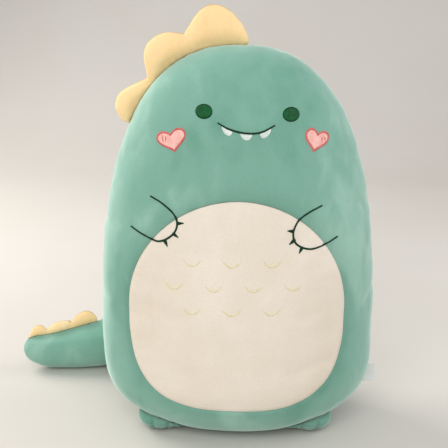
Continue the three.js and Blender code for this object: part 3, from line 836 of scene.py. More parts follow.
@dataclass
class BodyForm:
    """The cushion body's rounded form.

    A level cut is a rounded rectangle between an ellipse and a box. Above the widest place its half
    sizes close with (1 - up ** rise) ** (1 / round), below it with (1 - down ** rise) ** (1 / round),
    where up and down run from 0 at the widest place to 1 at the crown and just under the floor.

    Attributes:
        height: Floor to crown.
        waist: Height of the widest place.
        half_width: Half the width there.
        half_depth: Half the depth there.
        settle: How far the underside is pressed flat by the floor.
        section: Roundness of a level cut.
        crown_rise: The power rise above the widest place.
        crown_round: The power round above it.
        seat_rise: The power rise below the widest place.
        seat_width: The power round below it, for the width.
        seat_depth: The same for the depth.
        seam_y: Y of the side seam.
        belly_x: Middle of the belly panel.
        belly_z: Height of its widest place.
        belly_half_width: Half its width.
        belly_up: Its height above its widest place.
        belly_down: Its height below it.
    """

    height: float = 0.528
    waist: float = 0.140
    half_width: float = 0.191
    half_depth: float = 0.115
    settle: float = 0.010
    section: float = 2.2
    crown_rise: float = 2.44
    crown_round: float = 2.52
    seat_rise: float = 4.27
    seat_width: float = 1.35
    seat_depth: float = 2.2
    seam_y: float = 0.008
    belly_x: float = -0.002
    belly_z: float = 0.190
    belly_half_width: float = 0.1445
    belly_up: float = 0.152
    belly_down: float = 0.136

    def halves(self, z: Array) -> tuple[Array, Array]:
        """Half width and half depth at heights z."""
        up = np.clip((z - self.waist) / (self.height - self.waist), 0, 1)
        down = np.clip((self.waist - z) / (self.waist + self.settle), 0, 1)
        above = clipped_root(1 - up**self.crown_rise, self.crown_round)
        below = 1 - down**self.seat_rise
        high = z > self.waist
        width = np.where(high, above, clipped_root(below, self.seat_width))
        depth = np.where(high, above, clipped_root(below, self.seat_depth))
        return self.half_width * width, self.half_depth * depth

    def bulge(self, x: Array, z: Array) -> Array:
        """Distance from the middle plane to the front or back surface."""
        width, depth = self.halves(z)
        across = np.clip(np.abs(x) / np.maximum(width, 1e-9), 0, 1)
        return depth * clipped_root(1 - across**self.section, self.section)

    def underside(self, x: Array, y: Array) -> Array:
        """Height of the lower surface above the floor at places x, y, up to the widest place."""

        def outside(z: Array) -> Array:
            width, depth = self.halves(z)
            return (np.abs(x) / width) ** self.section + (np.abs(y) / depth) ** self.section > 1

        return solved(outside, np.zeros(x.shape), np.full(x.shape, self.waist))

    def side_seam(self, count: int) -> Array:
        """Points of the side seam, evenly spaced, clockwise from the crown as the camera sees it."""
        share = np.sin(np.linspace(math.asin(self.seam_y / self.half_depth), math.pi / 2, 400))
        up = clipped_root(1 - share**self.crown_round, self.crown_rise)
        over = self.waist + (self.height - self.waist) * up
        z = np.concatenate([over, np.linspace(self.waist, 0, 400)[1:]])
        width, depth = self.halves(z)
        width[: len(share)], depth[: len(share)] = self.half_width * share, self.half_depth * share
        x = width * clipped_root(1 - (self.seam_y / depth) ** self.section, self.section)
        half = np.stack([np.append(x, 0), np.full(len(x) + 1, self.seam_y), np.append(z, 0)], axis=1)
        half[0, 0] = 0
        whole = np.vstack([half, (half * [-1, 1, 1])[::-1][1:]])
        total = lengths_along(whole)[-1]
        return read_line(whole, np.arange(count) * total / count)

    def belly_edge(self, directions: Array, grow: float = 0.0) -> Array:
        """Distance of the belly panel's edge from its middle, in directions of x and z."""
        angle = np.linspace(0, TAU, 4001)
        upper = np.sin(angle) >= 0
        power = np.where(upper, 2.0, 2.8)
        reach = np.where(upper, self.belly_up, self.belly_down) + grow
        x = (self.belly_half_width + grow) * rounded(np.cos(angle), power)
        z = reach * rounded(np.sin(angle), power)
        turned = np.unwrap(np.arctan2(z, x))
        return np.interp(np.mod(directions, TAU), turned, np.hypot(x, z))

    def silhouette(self, directions: Array) -> Array:
        """Distance of the body's outline from the belly's middle, in directions of x and z."""
        cos, sin = np.cos(directions), np.sin(directions)

        def inside(r: Array) -> Array:
            z = self.belly_z + r * sin
            return (z >= 0) & (np.abs(self.belly_x + r * cos) < self.halves(z)[0])

        return solved(inside, np.zeros(len(directions)), np.full(len(directions), 0.6))

    def front_rows(self, count: int, shares: Array) -> tuple[Array, Array, Array]:
        """Lines over the front from the belly panel's edge out to the side seam.

        Each line leaves the belly's middle in one direction: over the front to the outline, on over the
        flat base where it meets that first, and round the outline to the seam behind it.

        Args:
            count: How many lines.
            shares: Shares of a line's length to give points at.

        Returns:
            The points, the distance of each from the belly's edge, and each line's length.
        """
        seam = self.side_seam(count)
        direction = np.arctan2(seam[:, 2] - self.belly_z, seam[:, 0] - self.belly_x)
        reach = self.silhouette(direction)
        cos, sin = np.cos(direction)[:, None], np.sin(direction)[:, None]

        def over(turn: Array, sign: int) -> Array:
            r = reach[:, None] * np.sin(turn * math.pi / 2)
            x, z = self.belly_x + r * cos, self.belly_z + r * sin
            return np.stack([x, sign * self.bulge(x, z), np.maximum(z, 0)], axis=-1)

        first = np.arcsin(np.clip(self.belly_edge(direction) / reach, 0, 1)) * 2 / math.pi
        front = over(first[:, None] + (1 - first[:, None]) * np.linspace(0, 1, 260), -1)
        rim = -front[:, -1:, 1]
        flat = np.repeat(front[:, -1:, :], 24, axis=1)
        flat[:, :, 1] = -rim + (np.minimum(rim, self.seam_y) + rim) * np.linspace(0, 1, 24)
        behind = solved(
            lambda t: over(t[:, None], 1)[:, 0, 1] < self.seam_y,
            np.ones(count),
            np.where(rim[:, 0] < self.seam_y, 1.5, 1.0),
        )
        back = over(1 + (behind[:, None] - 1) * np.linspace(0, 1, 24), 1)
        back[rim[:, 0] >= self.seam_y] = flat[rim[:, 0] >= self.seam_y][:, -1:, :]
        return resampled(np.concatenate([front, flat, back], axis=1), shares)

    def back_rows(self, seam: Array, shares: Array) -> tuple[Array, Array, Array]:
        """Level lines over the back from points of the side seam to the centre back seam.

        Args:
            seam: Points of one half of the side seam, n x 3.
            shares: Shares of a line's length to give points at.

        Returns:
            The points, the distance of each from the side seam, and each line's length.
        """
        width, depth = self.halves(seam[:, 2])
        level = (np.abs(seam[:, 0]) / width) ** self.section + (self.seam_y / depth) ** self.section
        scale = np.clip(level, 0, None) ** (1 / self.section)
        width, depth = width * scale, depth * scale
        first = np.arcsin(np.clip(self.seam_y / depth, 0, 1) ** (self.section / 2))
        angle = first[:, None] + (math.pi / 2 - first[:, None]) * np.linspace(0, 1, 240)
        sign = np.where(seam[:, 0] < 0, -1.0, 1.0)[:, None]
        x = sign * width[:, None] * rounded(np.cos(angle), self.section)
        y = depth[:, None] * rounded(np.sin(angle), self.section)
        z = np.repeat(seam[:, 2:3], angle.shape[1], axis=1)
        return resampled(np.stack([x, y, z], axis=-1), shares)

    def closed_form(self, rows: int, columns: int, inset: float) -> tuple[Array, Array]:
        """The whole form as one closed grid of level rings, drawn in by inset.

        Args:
            rows: Rings.
            columns: Points in a ring.
            inset: How far it is drawn in on every side.

        Returns:
            Points and faces.
        """
        z = self.height * (1 - np.cos(np.linspace(0.02, math.pi - 0.02, rows))) / 2
        width, depth = self.halves(z)
        angle = np.arange(columns) * TAU / columns
        x = width[:, None] * rounded(np.cos(angle), self.section)
        y = depth[:, None] * rounded(np.sin(angle), self.section)
        rings = np.stack([x, y, np.repeat(z[:, None], columns, axis=1)], axis=-1)
        poles = np.array([[0, 0, 0.0], [0, 0, self.height]])
        points = np.vstack([rings.reshape(-1, 3), poles])
        shrink = 1 - inset / np.array([self.half_width, self.half_depth, self.height / 2])
        middle = np.array([0, 0, self.height / 2])
        points = middle + (points - middle) * shrink
        return points, closed_faces(rows, columns)


def closed_faces(rows: int, columns: int) -> Array:
    """Faces of a grid of rings closed by two poles that are kept after it, the first ring's pole first."""
    quads = grid_faces(rows, columns, wrap=True)
    j = np.arange(columns)
    k = (j + 1) % columns
    low, high = rows * columns, rows * columns + 1
    top = (rows - 1) * columns
    first = np.stack([np.full(columns, low), k, j, j], axis=1)
    last = np.stack([np.full(columns, high), top + j, top + k, top + k], axis=1)
    return np.vstack([quads, first, last])


class HeightMap:
    """The finished front or back as heights along Y over an even grid of x and z.

    Embroidery reads its places from this, so that it lies on the fabric.
    """

    step = 0.002

    def __init__(self, target: Piece, side: Side, low: tuple, high: tuple) -> None:
        """Reads the heights.

        Args:
            target: The finished surface.
            side: The side that it is read from.
            low: The lowest x and z.
            high: The highest x and z.
        """
        self.low = np.array(low)
        self.side = side
        count = np.round((np.array(high) - self.low) / self.step).astype(int) + 1
        x = self.low[0] + np.arange(count[0]) * self.step
        z = self.low[1] + np.arange(count[1]) * self.step
        grid = np.stack([*np.meshgrid(x, np.array([side.value * 0.3]), z, indexing="ij")], axis=-1)[:, 0]
        y = laid_on(grid.reshape(-1, 3), target, side).reshape(grid.shape)[:, :, 1]
        self.y = self.spread(self.spread(y, 4, np.median), 1, np.mean)

    @staticmethod
    def spread(heights: Array, reach: int, how: Callable) -> Array:
        """The median or mean of every square of heights, so that the valley of a seam is bridged."""
        padded = np.pad(heights, reach, mode="edge")
        size = 2 * reach + 1
        windows = np.lib.stride_tricks.sliding_window_view(padded, (size, size))
        return how(windows, axis=(2, 3))

    def read(self, x: Array, z: Array) -> Array:
        """The surface's y at x, z, mixed from the four nearest heights."""
        at = (np.stack([x, z], axis=-1) - self.low) / self.step
        last = np.array(self.y.shape) - 2
        i = np.clip(np.floor(at).astype(int), 0, last)
        w = np.clip(at - i, 0, 1)
        a, b = i[..., 0], i[..., 1]
        lower = self.y[a, b] * (1 - w[..., 0]) + self.y[a + 1, b] * w[..., 0]
        upper = self.y[a, b + 1] * (1 - w[..., 0]) + self.y[a + 1, b + 1] * w[..., 0]
        return lower * (1 - w[..., 1]) + upper * w[..., 1]

    def above(self, x: Array, z: Array, off: Array) -> Array:
        """Points that stand off above the surface at x, z, along its normal."""
        d = 1.5 * self.step
        slope_x = (self.read(x + d, z) - self.read(x - d, z)) / (2 * d)
        slope_z = (self.read(x, z + d) - self.read(x, z - d)) / (2 * d)
        normal = np.stack([-slope_x, np.ones_like(slope_x), -slope_z], axis=-1) * self.side.value
        normal /= np.linalg.norm(normal, axis=-1, keepdims=True)
        return np.stack([x, self.read(x, z), z], axis=-1) + normal * off[..., None]


@dataclass
class Body:
    """The cushion body: a front panel round a belly panel, two back panels and the filling.

    Attributes:
        form: The body's form.
        columns: Points along the side seam.
        front_rows: Rows of the front panel, belly seam to side seam.
        back_rows: Rows of a back panel, side seam to back seam.
        belly_rows: Rows and columns of the belly panel.
        seam_depth: How far a seam is drawn in.
        seam_width: How wide its valley is.
        lump: Height of the filling's unevenness.
        fill: How full the covers are. Not used.
        stuffing: How the form is swollen.
    """

    form: BodyForm = field(default_factory=BodyForm)
    columns: int = 480
    front_rows: int = 78
    back_rows: int = 64
    belly_rows: int = 135
    seam_depth: float = 0.0020
    seam_width: float = 0.0028
    lump: float = 0.0016
    fill: float = 0.85
    stuffing: Stuffing = field(default_factory=lambda: Stuffing(voxel=0.007, cap=0.0045))

    def held(self, points: Array) -> Array:
        """How firmly the cover is held: fully at its seams and on the floor, not at all between them."""
        x, y, z = points.T
        side = np.abs(y - self.form.seam_y)
        back = np.where(y > 0, np.abs(x), 1.0)
        direction = np.arctan2(z - self.form.belly_z, x - self.form.belly_x)
        radius = np.hypot(z - self.form.belly_z, x - self.form.belly_x)
        belly = np.where(y < 0, np.abs(radius - self.form.belly_edge(direction)), 1.0)
        near = np.minimum(np.minimum(side, back), belly)
        floor = np.clip(1 - z / 0.012, 0, 1)
        return np.maximum(0.9 * np.exp(-((near / 0.008) ** 2)), floor)

    def sew(self, name: str, points: Array, faces: Array, shape: Rule, skin: Piece) -> Piece:
        """Lays a panel on the stuffed form and draws its seams in.

        Args:
            name: The piece's name.
            points: The panel's points on the plain form.
            faces: Its faces.
            shape: Gives the height of seams, gathers and lumps for the laid points.
            skin: The stuffed form.

        Returns:
            The panel, without its thickness.
        """
        laid = laid_on(points, skin)
        laid[:, 2] = np.maximum(laid[:, 2], 0)
        panel = make_piece(name, laid, outward(laid, faces, np.array([0, 0, self.form.waist])))
        off_floor = np.clip(laid[:, 2:] / 0.006, 0, 1)
        moved = laid + normals_of(panel) * shape(laid)[:, None] * off_floor
        moved[:, 2] = np.maximum(moved[:, 2], REST_HEIGHT)
        place_points(panel, moved)
        return panel

    def lumps(self, points: Array) -> Array:
        """The filling's gentle unevenness at two sizes."""
        return waves(points, 0.13, self.lump, 1) + waves(points, 0.05, 0.35 * self.lump, 2)

    def belly_valley(self, distance: Array) -> Array:
        """The valley at distances from the belly's seam."""
        return dip(distance, self.seam_depth * 0.75, self.seam_width)

    def side_valley(self, distance: Array, along: Array) -> Array:
        """The valley and the gathers at distances from the side seam and along it."""
        drawn = dip(distance, self.seam_depth, self.seam_width * 1.5)
        return drawn + puckers(distance, along, 0.0007, 0.019, 0.014)

    def front_panel(self, skin: Piece) -> Piece:
        """The green front, from the belly seam to the side seam."""
        shares = (1 - np.cos(np.linspace(0, math.pi, self.front_rows))) / 2
        shares = 0.45 * shares + 0.55 * np.linspace(0, 1, self.front_rows)
        rows, from_belly, total = self.form.front_rows(self.columns, shares)
        points = rows.transpose(1, 0, 2).reshape(-1, 3)
        inner = from_belly.T.ravel()
        outer = np.tile(total, self.front_rows) - inner
        along = np.tile(np.arange(self.columns) * COLUMN_STEP, self.front_rows)

        def shape(laid: Array) -> Array:
            gathers = puckers(inner, along, 0.00035, 0.011, 0.006)
            return self.belly_valley(inner) + self.side_valley(outer, along) + gathers + self.lumps(laid)

        faces = grid_faces(self.front_rows, self.columns, wrap=True)
        panel = self.sew("front_cover", points, faces, shape, skin)
        # Painted shade along the side seam, and a weaker painted shade along the belly seam.
        paint_seam_shade(panel, outer, least=0.28 * np.exp(-((inner / 0.016) ** 2)))
        return panel

    def belly_panel(self, skin: Piece) -> Piece:
        """The cream belly, from its middle to its seam."""
        even = np.linspace(-1, 1, self.belly_rows)
        even = even * (1.35 - 0.35 * even**2)
        a, b = np.meshgrid(even, even, indexing="ij")
        share = np.sqrt(a**2 + b**2 - (a * b) ** 2).ravel()
        direction = np.mod(np.arctan2(b, a).ravel(), TAU)
        edge = self.form.belly_edge(direction, -0.0003)
        x = self.form.belly_x + edge * share * np.cos(direction)
        z = self.form.belly_z + edge * share * np.sin(direction)
        points = np.stack([x, -self.form.bulge(x, z), z], axis=-1)
        faces = grid_faces(self.belly_rows, self.belly_rows)
        inner = edge * (1 - share)
        along = direction * 0.13

        def shape(laid: Array) -> Array:
            gathers = puckers(inner, along, 0.00035, 0.012, 0.007)
            return self.belly_valley(inner) + gathers + self.lumps(laid)

        return self.sew("belly_cover", points, faces, shape, skin)

    def back_panel(self, hand: Hand, skin: Piece) -> Piece:
        """One half of the green back, from the side seam to the centre back seam."""
        seam = self.form.side_seam(self.columns)
        half = self.columns // 2
        order = np.arange(half + 1)
        if hand is Hand.LEFT:
            order = (self.columns - order) % self.columns
        shares = np.linspace(0, 1, self.back_rows)
        rows, from_side, total = self.form.back_rows(seam[order] + [hand.value * 1e-7, 0, 0], shares)
        points = rows.transpose(1, 0, 2).reshape(-1, 3)
        side = from_side.T.ravel()
        centre = np.tile(total, self.back_rows) - side
        along = np.tile(np.arange(half + 1) * COLUMN_STEP, self.back_rows)
        level = np.tile(lengths_along(rows[:, -1, :]), self.back_rows)

        def shape(laid: Array) -> Array:
            drawn = dip(centre, self.seam_depth, self.seam_width)
            gathers = puckers(centre, level, 0.0006, 0.016, 0.010)
            return self.side_valley(side, along) + drawn + gathers + self.lumps(laid)

        name = f"back_cover_{hand.name.lower()}"
        panel = self.sew(name, points, grid_faces(self.back_rows, half + 1), shape, skin)
        # Painted shade along the side seam and the centre back seam.
        paint_seam_shade(panel, np.minimum(side, centre))
        return panel

    def build(self, wardrobe: Wardrobe) -> tuple[HeightMap, HeightMap]:
        """Makes and dresses the body, and returns the heights of its front and back."""
        points, faces = self.form.closed_form(96, 120, 0.0012)
        skin = self.stuffing.stuffed("body_blank", points, faces, self.held)
        front, belly = self.front_panel(skin), self.belly_panel(skin)
        backs = [self.back_panel(hand, skin) for hand in Hand]
        discard(skin)
        face = self.read_surface([front, belly], Side.FRONT, (-0.17, 0.06), (0.17, 0.50))
        spine = self.read_surface(backs, Side.BACK, (-0.03, 0.20), (0.03, 0.36))
        for panel in (front, belly, *backs):
            self.close_tip(panel)
            thicken(panel, FABRIC)
        wardrobe.dress(front, Slot.GREEN_PLUSH, "body", "front_panel")
        wardrobe.dress(belly, Slot.CREAM_PLUSH, "body", "belly_panel")
        filling = make_piece("body_filling", *self.form.closed_form(60, 72, FILLING_INSET))
        inside = points_of(filling)
        uneven = normals_of(filling) * waves(inside, 0.03, 0.0008, 3)[:, None]
        place_points(filling, inside + uneven)
        nodes = ("back_panel_left", "back_panel_right", "body_stuffing")
        wardrobe.dress_all((*backs, filling), Slot.GREEN_PLUSH, "body", nodes)
        return face, spine

    @staticmethod
    def close_tip(panel: Piece) -> None:
        """Merges the points that meet at a panel's ends, so that no face is without area."""
        merge = panel.modifiers.new("merge", "WELD")
        merge.merge_threshold = 0.00002
        apply_modifiers(panel)

    @staticmethod
    def read_surface(panels: Sequence, side: Side, low: tuple, high: tuple) -> HeightMap:
        """The heights of several panels together, from the lowest to the highest x and z."""
        parts = []
        for panel in panels:
            panel.data.calc_loop_triangles()
            corners = np.zeros(len(panel.data.loop_triangles) * 3, int)
            panel.data.loop_triangles.foreach_get("vertices", corners)
            parts.append((points_of(panel), corners.reshape(-1, 3)))
        joined = make_piece("joined_helper", *together(parts))
        heights = HeightMap(joined, side, low, high)
        discard(joined)
        return heights


# ------------------------------------------------------------------ crest, tail and feet


@dataclass
class Pillow:
    """Two sheets sewn together round their edge, each a grid of points kept row by row.

    Attributes:
        front: Points of the front sheet, rows x columns x 3.
        back: Points of the back sheet, on the same grid.
    """

    front: Array
    back: Array

    def blank(self, shrink: float = 1.0) -> tuple[Array, Array]:
        """Both sheets as one form, drawn towards the surface midway between them."""
        middle = (self.front + self.back) / 2
        rows, columns = self.front.shape[:2]
        sheets = [middle + (sheet - middle) * shrink for sheet in (self.front, self.back)]
        points = np.vstack([sheet.reshape(-1, 3) for sheet in sheets])
        faces = grid_faces(rows, columns)
        return points, np.vstack([faces, faces[:, ::-1] + rows * columns])

    def filling(self, name: str, inset: float, edge: int, first: int = 0) -> Piece:
        """The filling: the same form drawn in by inset, without its outer rows and columns.

        Args:
            name: The piece's name.
            inset: How far each side is drawn in.
            edge: Rows and columns left out at each edge.
            first: Further columns left out at the first edge.

        Returns:
            The closed piece.
        """
        kept = (slice(edge, -edge), slice(edge + first, -edge))
        inner = Pillow(self.front[kept], self.back[kept])
        middle = (inner.front + inner.back) / 2
        half = (inner.front - inner.back) / 2
        size = np.linalg.norm(half, axis=2, keepdims=True)
        thin = half * np.clip(1 - inset / np.maximum(size, 1e-9), 0.08, 1)
        rows, columns = middle.shape[:2]
        points = np.vstack([(middle + thin).reshape(-1, 3), (middle - thin).reshape(-1, 3)])
        sheet = grid_faces(rows, columns)
        rim = rim_of(rows, columns)
        ahead = np.roll(rim, -1)
        wall = np.stack([rim, rim + rows * columns, ahead + rows * columns, ahead], axis=1)
        faces = np.vstack([sheet, sheet[:, ::-1] + rows * columns, wall])
        return make_piece(name, points, outward(points, faces))


def rim_of(rows: int, columns: int) -> Array:
    """The numbers of a grid's outer points, in order round it."""
    top, left = np.arange(columns), np.arange(rows) * columns
    bottom, right = (rows - 1) * columns + top, left + columns - 1
    return np.concatenate([top[:-1], right[:-1], bottom[::-1][:-1], left[::-1][:-1]])


def sewn_pillow(
    pillow: Pillow,
    node: str,
    stuffing: Stuffing,
    shrink: float,
    held: Rule,
    shape: Rule,
    edge: Array,
) -> list[Piece]:
    """Stuffs a pillow and gives its two sheets, laid on the stuffed form.

    Args:
        pillow: The plain form.
        node: How the names of the pieces start.
        stuffing: How hard it is stuffed.
        shrink: How thin it starts.
        held: How firmly its points are held.
        shape: Gives the height of seams and gathers for a sheet's laid points.
        edge: How far each point is from where its sheet is sewn, as a share of how far it may swell.

    Returns:
        The front and back pieces, thickened.
    """
    points, faces = pillow.blank(shrink)
    skin = stuffing.stuffed(f"{node}_front_cloth_blank", *merged(points, faces), held)
    rows, columns = pillow.front.shape[:2]
    pieces = []
    for way, sheet, other in (("front", pillow.front, pillow.back), ("back", pillow.back, pillow.front)):
        flat = sheet.reshape(-1, 3)
        laid = flat + (laid_on(flat, skin) - flat) * (1 - np.exp(-(edge.ravel() ** 2)))[:, None]
        out = (flat - other.reshape(-1, 3)).mean(0)
        far_inside = laid.mean(0) - out / np.linalg.norm(out) * 10
        faces = outward(laid, grid_faces(rows, columns), far_inside)
        piece = make_piece(f"{node}_{way}_cloth", laid, faces)
        place_points(piece, laid + normals_of(piece) * shape(laid)[:, None])
        # Painted shade along the edge seam where the two sheets are sewn together.
        paint_seam_shade(piece, edge.ravel() * 0.005, 0.0012)
        Body.close_tip(piece)
        thicken(piece, FABRIC)
        pieces.append(piece)
    discard(skin)
    return pieces


def merged(points: Array, faces: Array) -> tuple[Array, Array]:
    """Joins points that lie together within a tenth of a millimetre, and drops faces that vanish."""
    keys = np.round(points / 0.0001).astype(np.int64)
    _, first, number = np.unique(keys, axis=0, return_index=True, return_inverse=True)
    joined = number.reshape(-1)[faces]
    edges = np.stack([joined[:, k] == joined[:, (k + 1) % 4] for k in range(4)], axis=1)
    whole, single = ~edges.any(1), edges.sum(1) == 1
    rolled = [np.roll(joined[single & edges[:, k]], 2 - k, axis=1) for k in range(4)]
    return points[first], np.vstack([joined[whole], *rolled])


def scallop_shares(parts: int, steps: int) -> tuple[Array, Array, Array, Array]:
    """Shares along a row of scallops, which scallop each is on, its share of that, and its dome's."""
    u = np.linspace(0, 1, steps * parts + 1)
    k = np.minimum((u * parts).astype(int), parts - 1)
    t = u * parts - k
    return u, k, t, np.clip(np.sin(math.pi * t), 0, 1) ** 0.6


def cloth_nodes(node: str) -> list[str]:
    """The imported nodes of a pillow: its two panels and its filling."""
    return [f"{node}_{part}" for part in ("front_panel", "back_panel", "stuffing")]


@dataclass
class Crest:
    """Three plump scallops sewn into the side seam over the left of the crown.

    The edge of each scallop is a smooth curve through pairs of distance along the seam to the left of
    the crown and height above the seam. A line runs straight out from the seam to each place of the
    edge, and the thickness swells between them and over the middle of each scallop.
    """

    form: BodyForm
    lift: float = -0.0030
    half_thickness: float = 0.014
    steps: int = 54
    rows: int = 30
    scallops: Sequence = (
        (
            *((-10, 5), (-8.6, 14), (-5, 23), (2, 33), (12, 44.2), (22.5, 51.4), (32.6, 54)),
            *((41.4, 51), (49, 44.6), (57.5, 35.4), (66.2, 27)),
        ),
        (
            *((66.2, 27), (71, 31.2), (78.5, 37), (87.5, 41.2), (97.5, 42.4), (106, 40.4)),
            *((113, 35.6), (120, 27.2), (126.5, 17.8), (131.8, 10.5)),
        ),
        (
            *((131.8, 10.5), (139.5, 14.2), (148.5, 20), (158, 26.2), (167, 29.6), (175.5, 29.8)),
            *((183, 27.2), (189, 22.4), (193.6, 15), (196, 6)),
        ),
    )
    stuffing: Stuffing = field(default_factory=lambda: Stuffing(voxel=0.004, cap=0.004, pressure=3.0))

    def seam_at(self, distance: Array) -> tuple[Array, Array]:
        """Points of the seam at distances to the left of the crown, and the directions straight out."""
        turn = np.linspace(-math.pi / 2, math.pi / 2, 2001)
        x = -self.form.half_width * np.sin(turn)
        across = np.abs(x) / self.form.half_width
        level = clipped_root(1 - across**self.form.crown_round, self.form.crown_rise)
        z = self.form.waist + (self.form.height - self.form.waist) * level
        line = np.stack([x, np.full_like(x, self.form.seam_y), z], axis=1)
        along = lengths_along(line)
        at = distance + along[len(along) // 2]
        found = read_line(line, at)
        ahead = read_line(line, at + 0.002) - read_line(line, at - 0.002)
        ahead /= np.linalg.norm(ahead, axis=1, keepdims=True)
        return found, np.stack([ahead[:, 2], np.zeros(len(at)), -ahead[:, 0]], axis=1)

    def pillow(self) -> tuple[Pillow, Array, Array]:
        """The plain form, with the distance of each point from the edge and its place along it."""
        u, k, t, dome = scallop_shares(len(self.scallops), self.steps)
        edges = np.stack([spline(points, t) for points in self.scallops])
        edge = edges[k, np.arange(len(u))] / 1000
        base, out = self.seam_at(edge[:, 0])
        base = base + out * self.lift
        height = edge[:, 1] - self.lift
        v = np.linspace(0, 1, self.rows)
        line = base[None] + out[None] * (height * v[:, None])[:, :, None]
        ends = np.clip(np.minimum(u, 1 - u) / 0.02, 0, 1) ** 0.5
        thick = self.half_thickness * (0.35 + 0.65 * dome) * np.sin(math.pi * v)[:, None] ** 0.7 * ends
        across = np.array([0, 1, 0]) * thick[:, :, None]
        from_edge = np.minimum(1 - v[:, None], v[:, None]) * height
        return Pillow(line - across, line + across), from_edge, np.tile(edge[:, 0], (self.rows, 1))

    def build(self, wardrobe: Wardrobe) -> None:
        """Makes and dresses the crest."""
        pillow, from_edge, along = self.pillow()

        def held(points: Array) -> Array:
            return np.exp(-((np.abs(points[:, 1] - self.form.seam_y) / 0.0022) ** 2))

        def shape(laid: Array) -> Array:
            gathers = puckers(from_edge.ravel(), along.ravel(), 0.0007, 0.013, 0.007)
            return dip(from_edge.ravel(), 0.0008, 0.0016) + gathers + waves(laid, 0.05, 0.0007, 5)

        pieces = sewn_pillow(pillow, "crest", self.stuffing, 0.85, held, shape, from_edge / 0.005)
        pieces.append(pillow.filling("crest_filling", 0.0045, 3))
        wardrobe.dress_all(pieces, Slot.YELLOW_PLUSH, "crest", cloth_nodes("crest"))


@dataclass
class TailForm:
    """The tail's middle line and sizes.

    It leaves the centre back seam, turns left and lies along the floor. Its half height falls with the
    square of the share of its length and closes at the tip with the root of 1 - share ** rounding; its
    half thickness opens from nothing at the seam like a quarter sine.
    """

    form: BodyForm
    root_lift: float = -0.0016
    route: Sequence = ((0, 0), (-40, 38), (-95, 58), (-206, 46), (-300, 34), (-342, 27))
    underside: Sequence = (32, 13, 2.2, 1.6, 14)
    places: Sequence = (0, 0.3, 0.62, 0.87, 1)
    root_half_height: float = 0.052
    taper: float = 0.030
    flatness: float = 0.85
    pinch: float = 0.35
    rounding: float = 30

    def root_y(self, z: Array) -> Array:
        """How far the back seam at z is behind the back seam at the middle of the root."""
        middle = np.array(self.underside[0] / 1000 + self.root_half_height)
        return self.form.bulge(np.zeros_like(z), z) - self.form.bulge(np.array(0.0), middle)

    def at(self, u: Array) -> tuple[Array, Array, Array, Array]:
        """Middle points, directions across to the front, half heights and half thicknesses at u."""
        middle = self.underside[0] / 1000 + self.root_half_height
        start = float(self.form.bulge(np.array(0.0), np.array(middle))) + self.root_lift
        plan = spline(np.array(self.route) / 1000 + [0, start], np.linspace(0, 1, 1201), centripetal=True)
        total = lengths_along(plan)[-1]
        place = read_line(plan, u * total)
        further, nearer = (np.clip(u * total + step, 0, total) for step in (0.003, -0.003))
        ahead = read_line(plan, further) - read_line(plan, nearer)
        ahead /= np.linalg.norm(ahead, axis=1, keepdims=True)
        knots = np.linspace(0, 1, len(self.places))
        under = spline(np.array(self.underside)[:, None] / 1000, np.interp(u, self.places, knots))[:, 0]
        tapered = self.root_half_height - self.taper * u**2
        centre = np.stack([place[:, 0], place[:, 1], under + tapered], axis=1)
        half_height = tapered * np.sqrt(np.clip(1 - u**self.rounding, 0, 1))
        opened = np.sin(math.pi / 2 * np.clip(u / self.pinch, 0, 1))
        across = np.stack([-ahead[:, 1], ahead[:, 0], np.zeros(len(u))], axis=1)
        return centre, across, half_height, self.flatness * half_height * opened


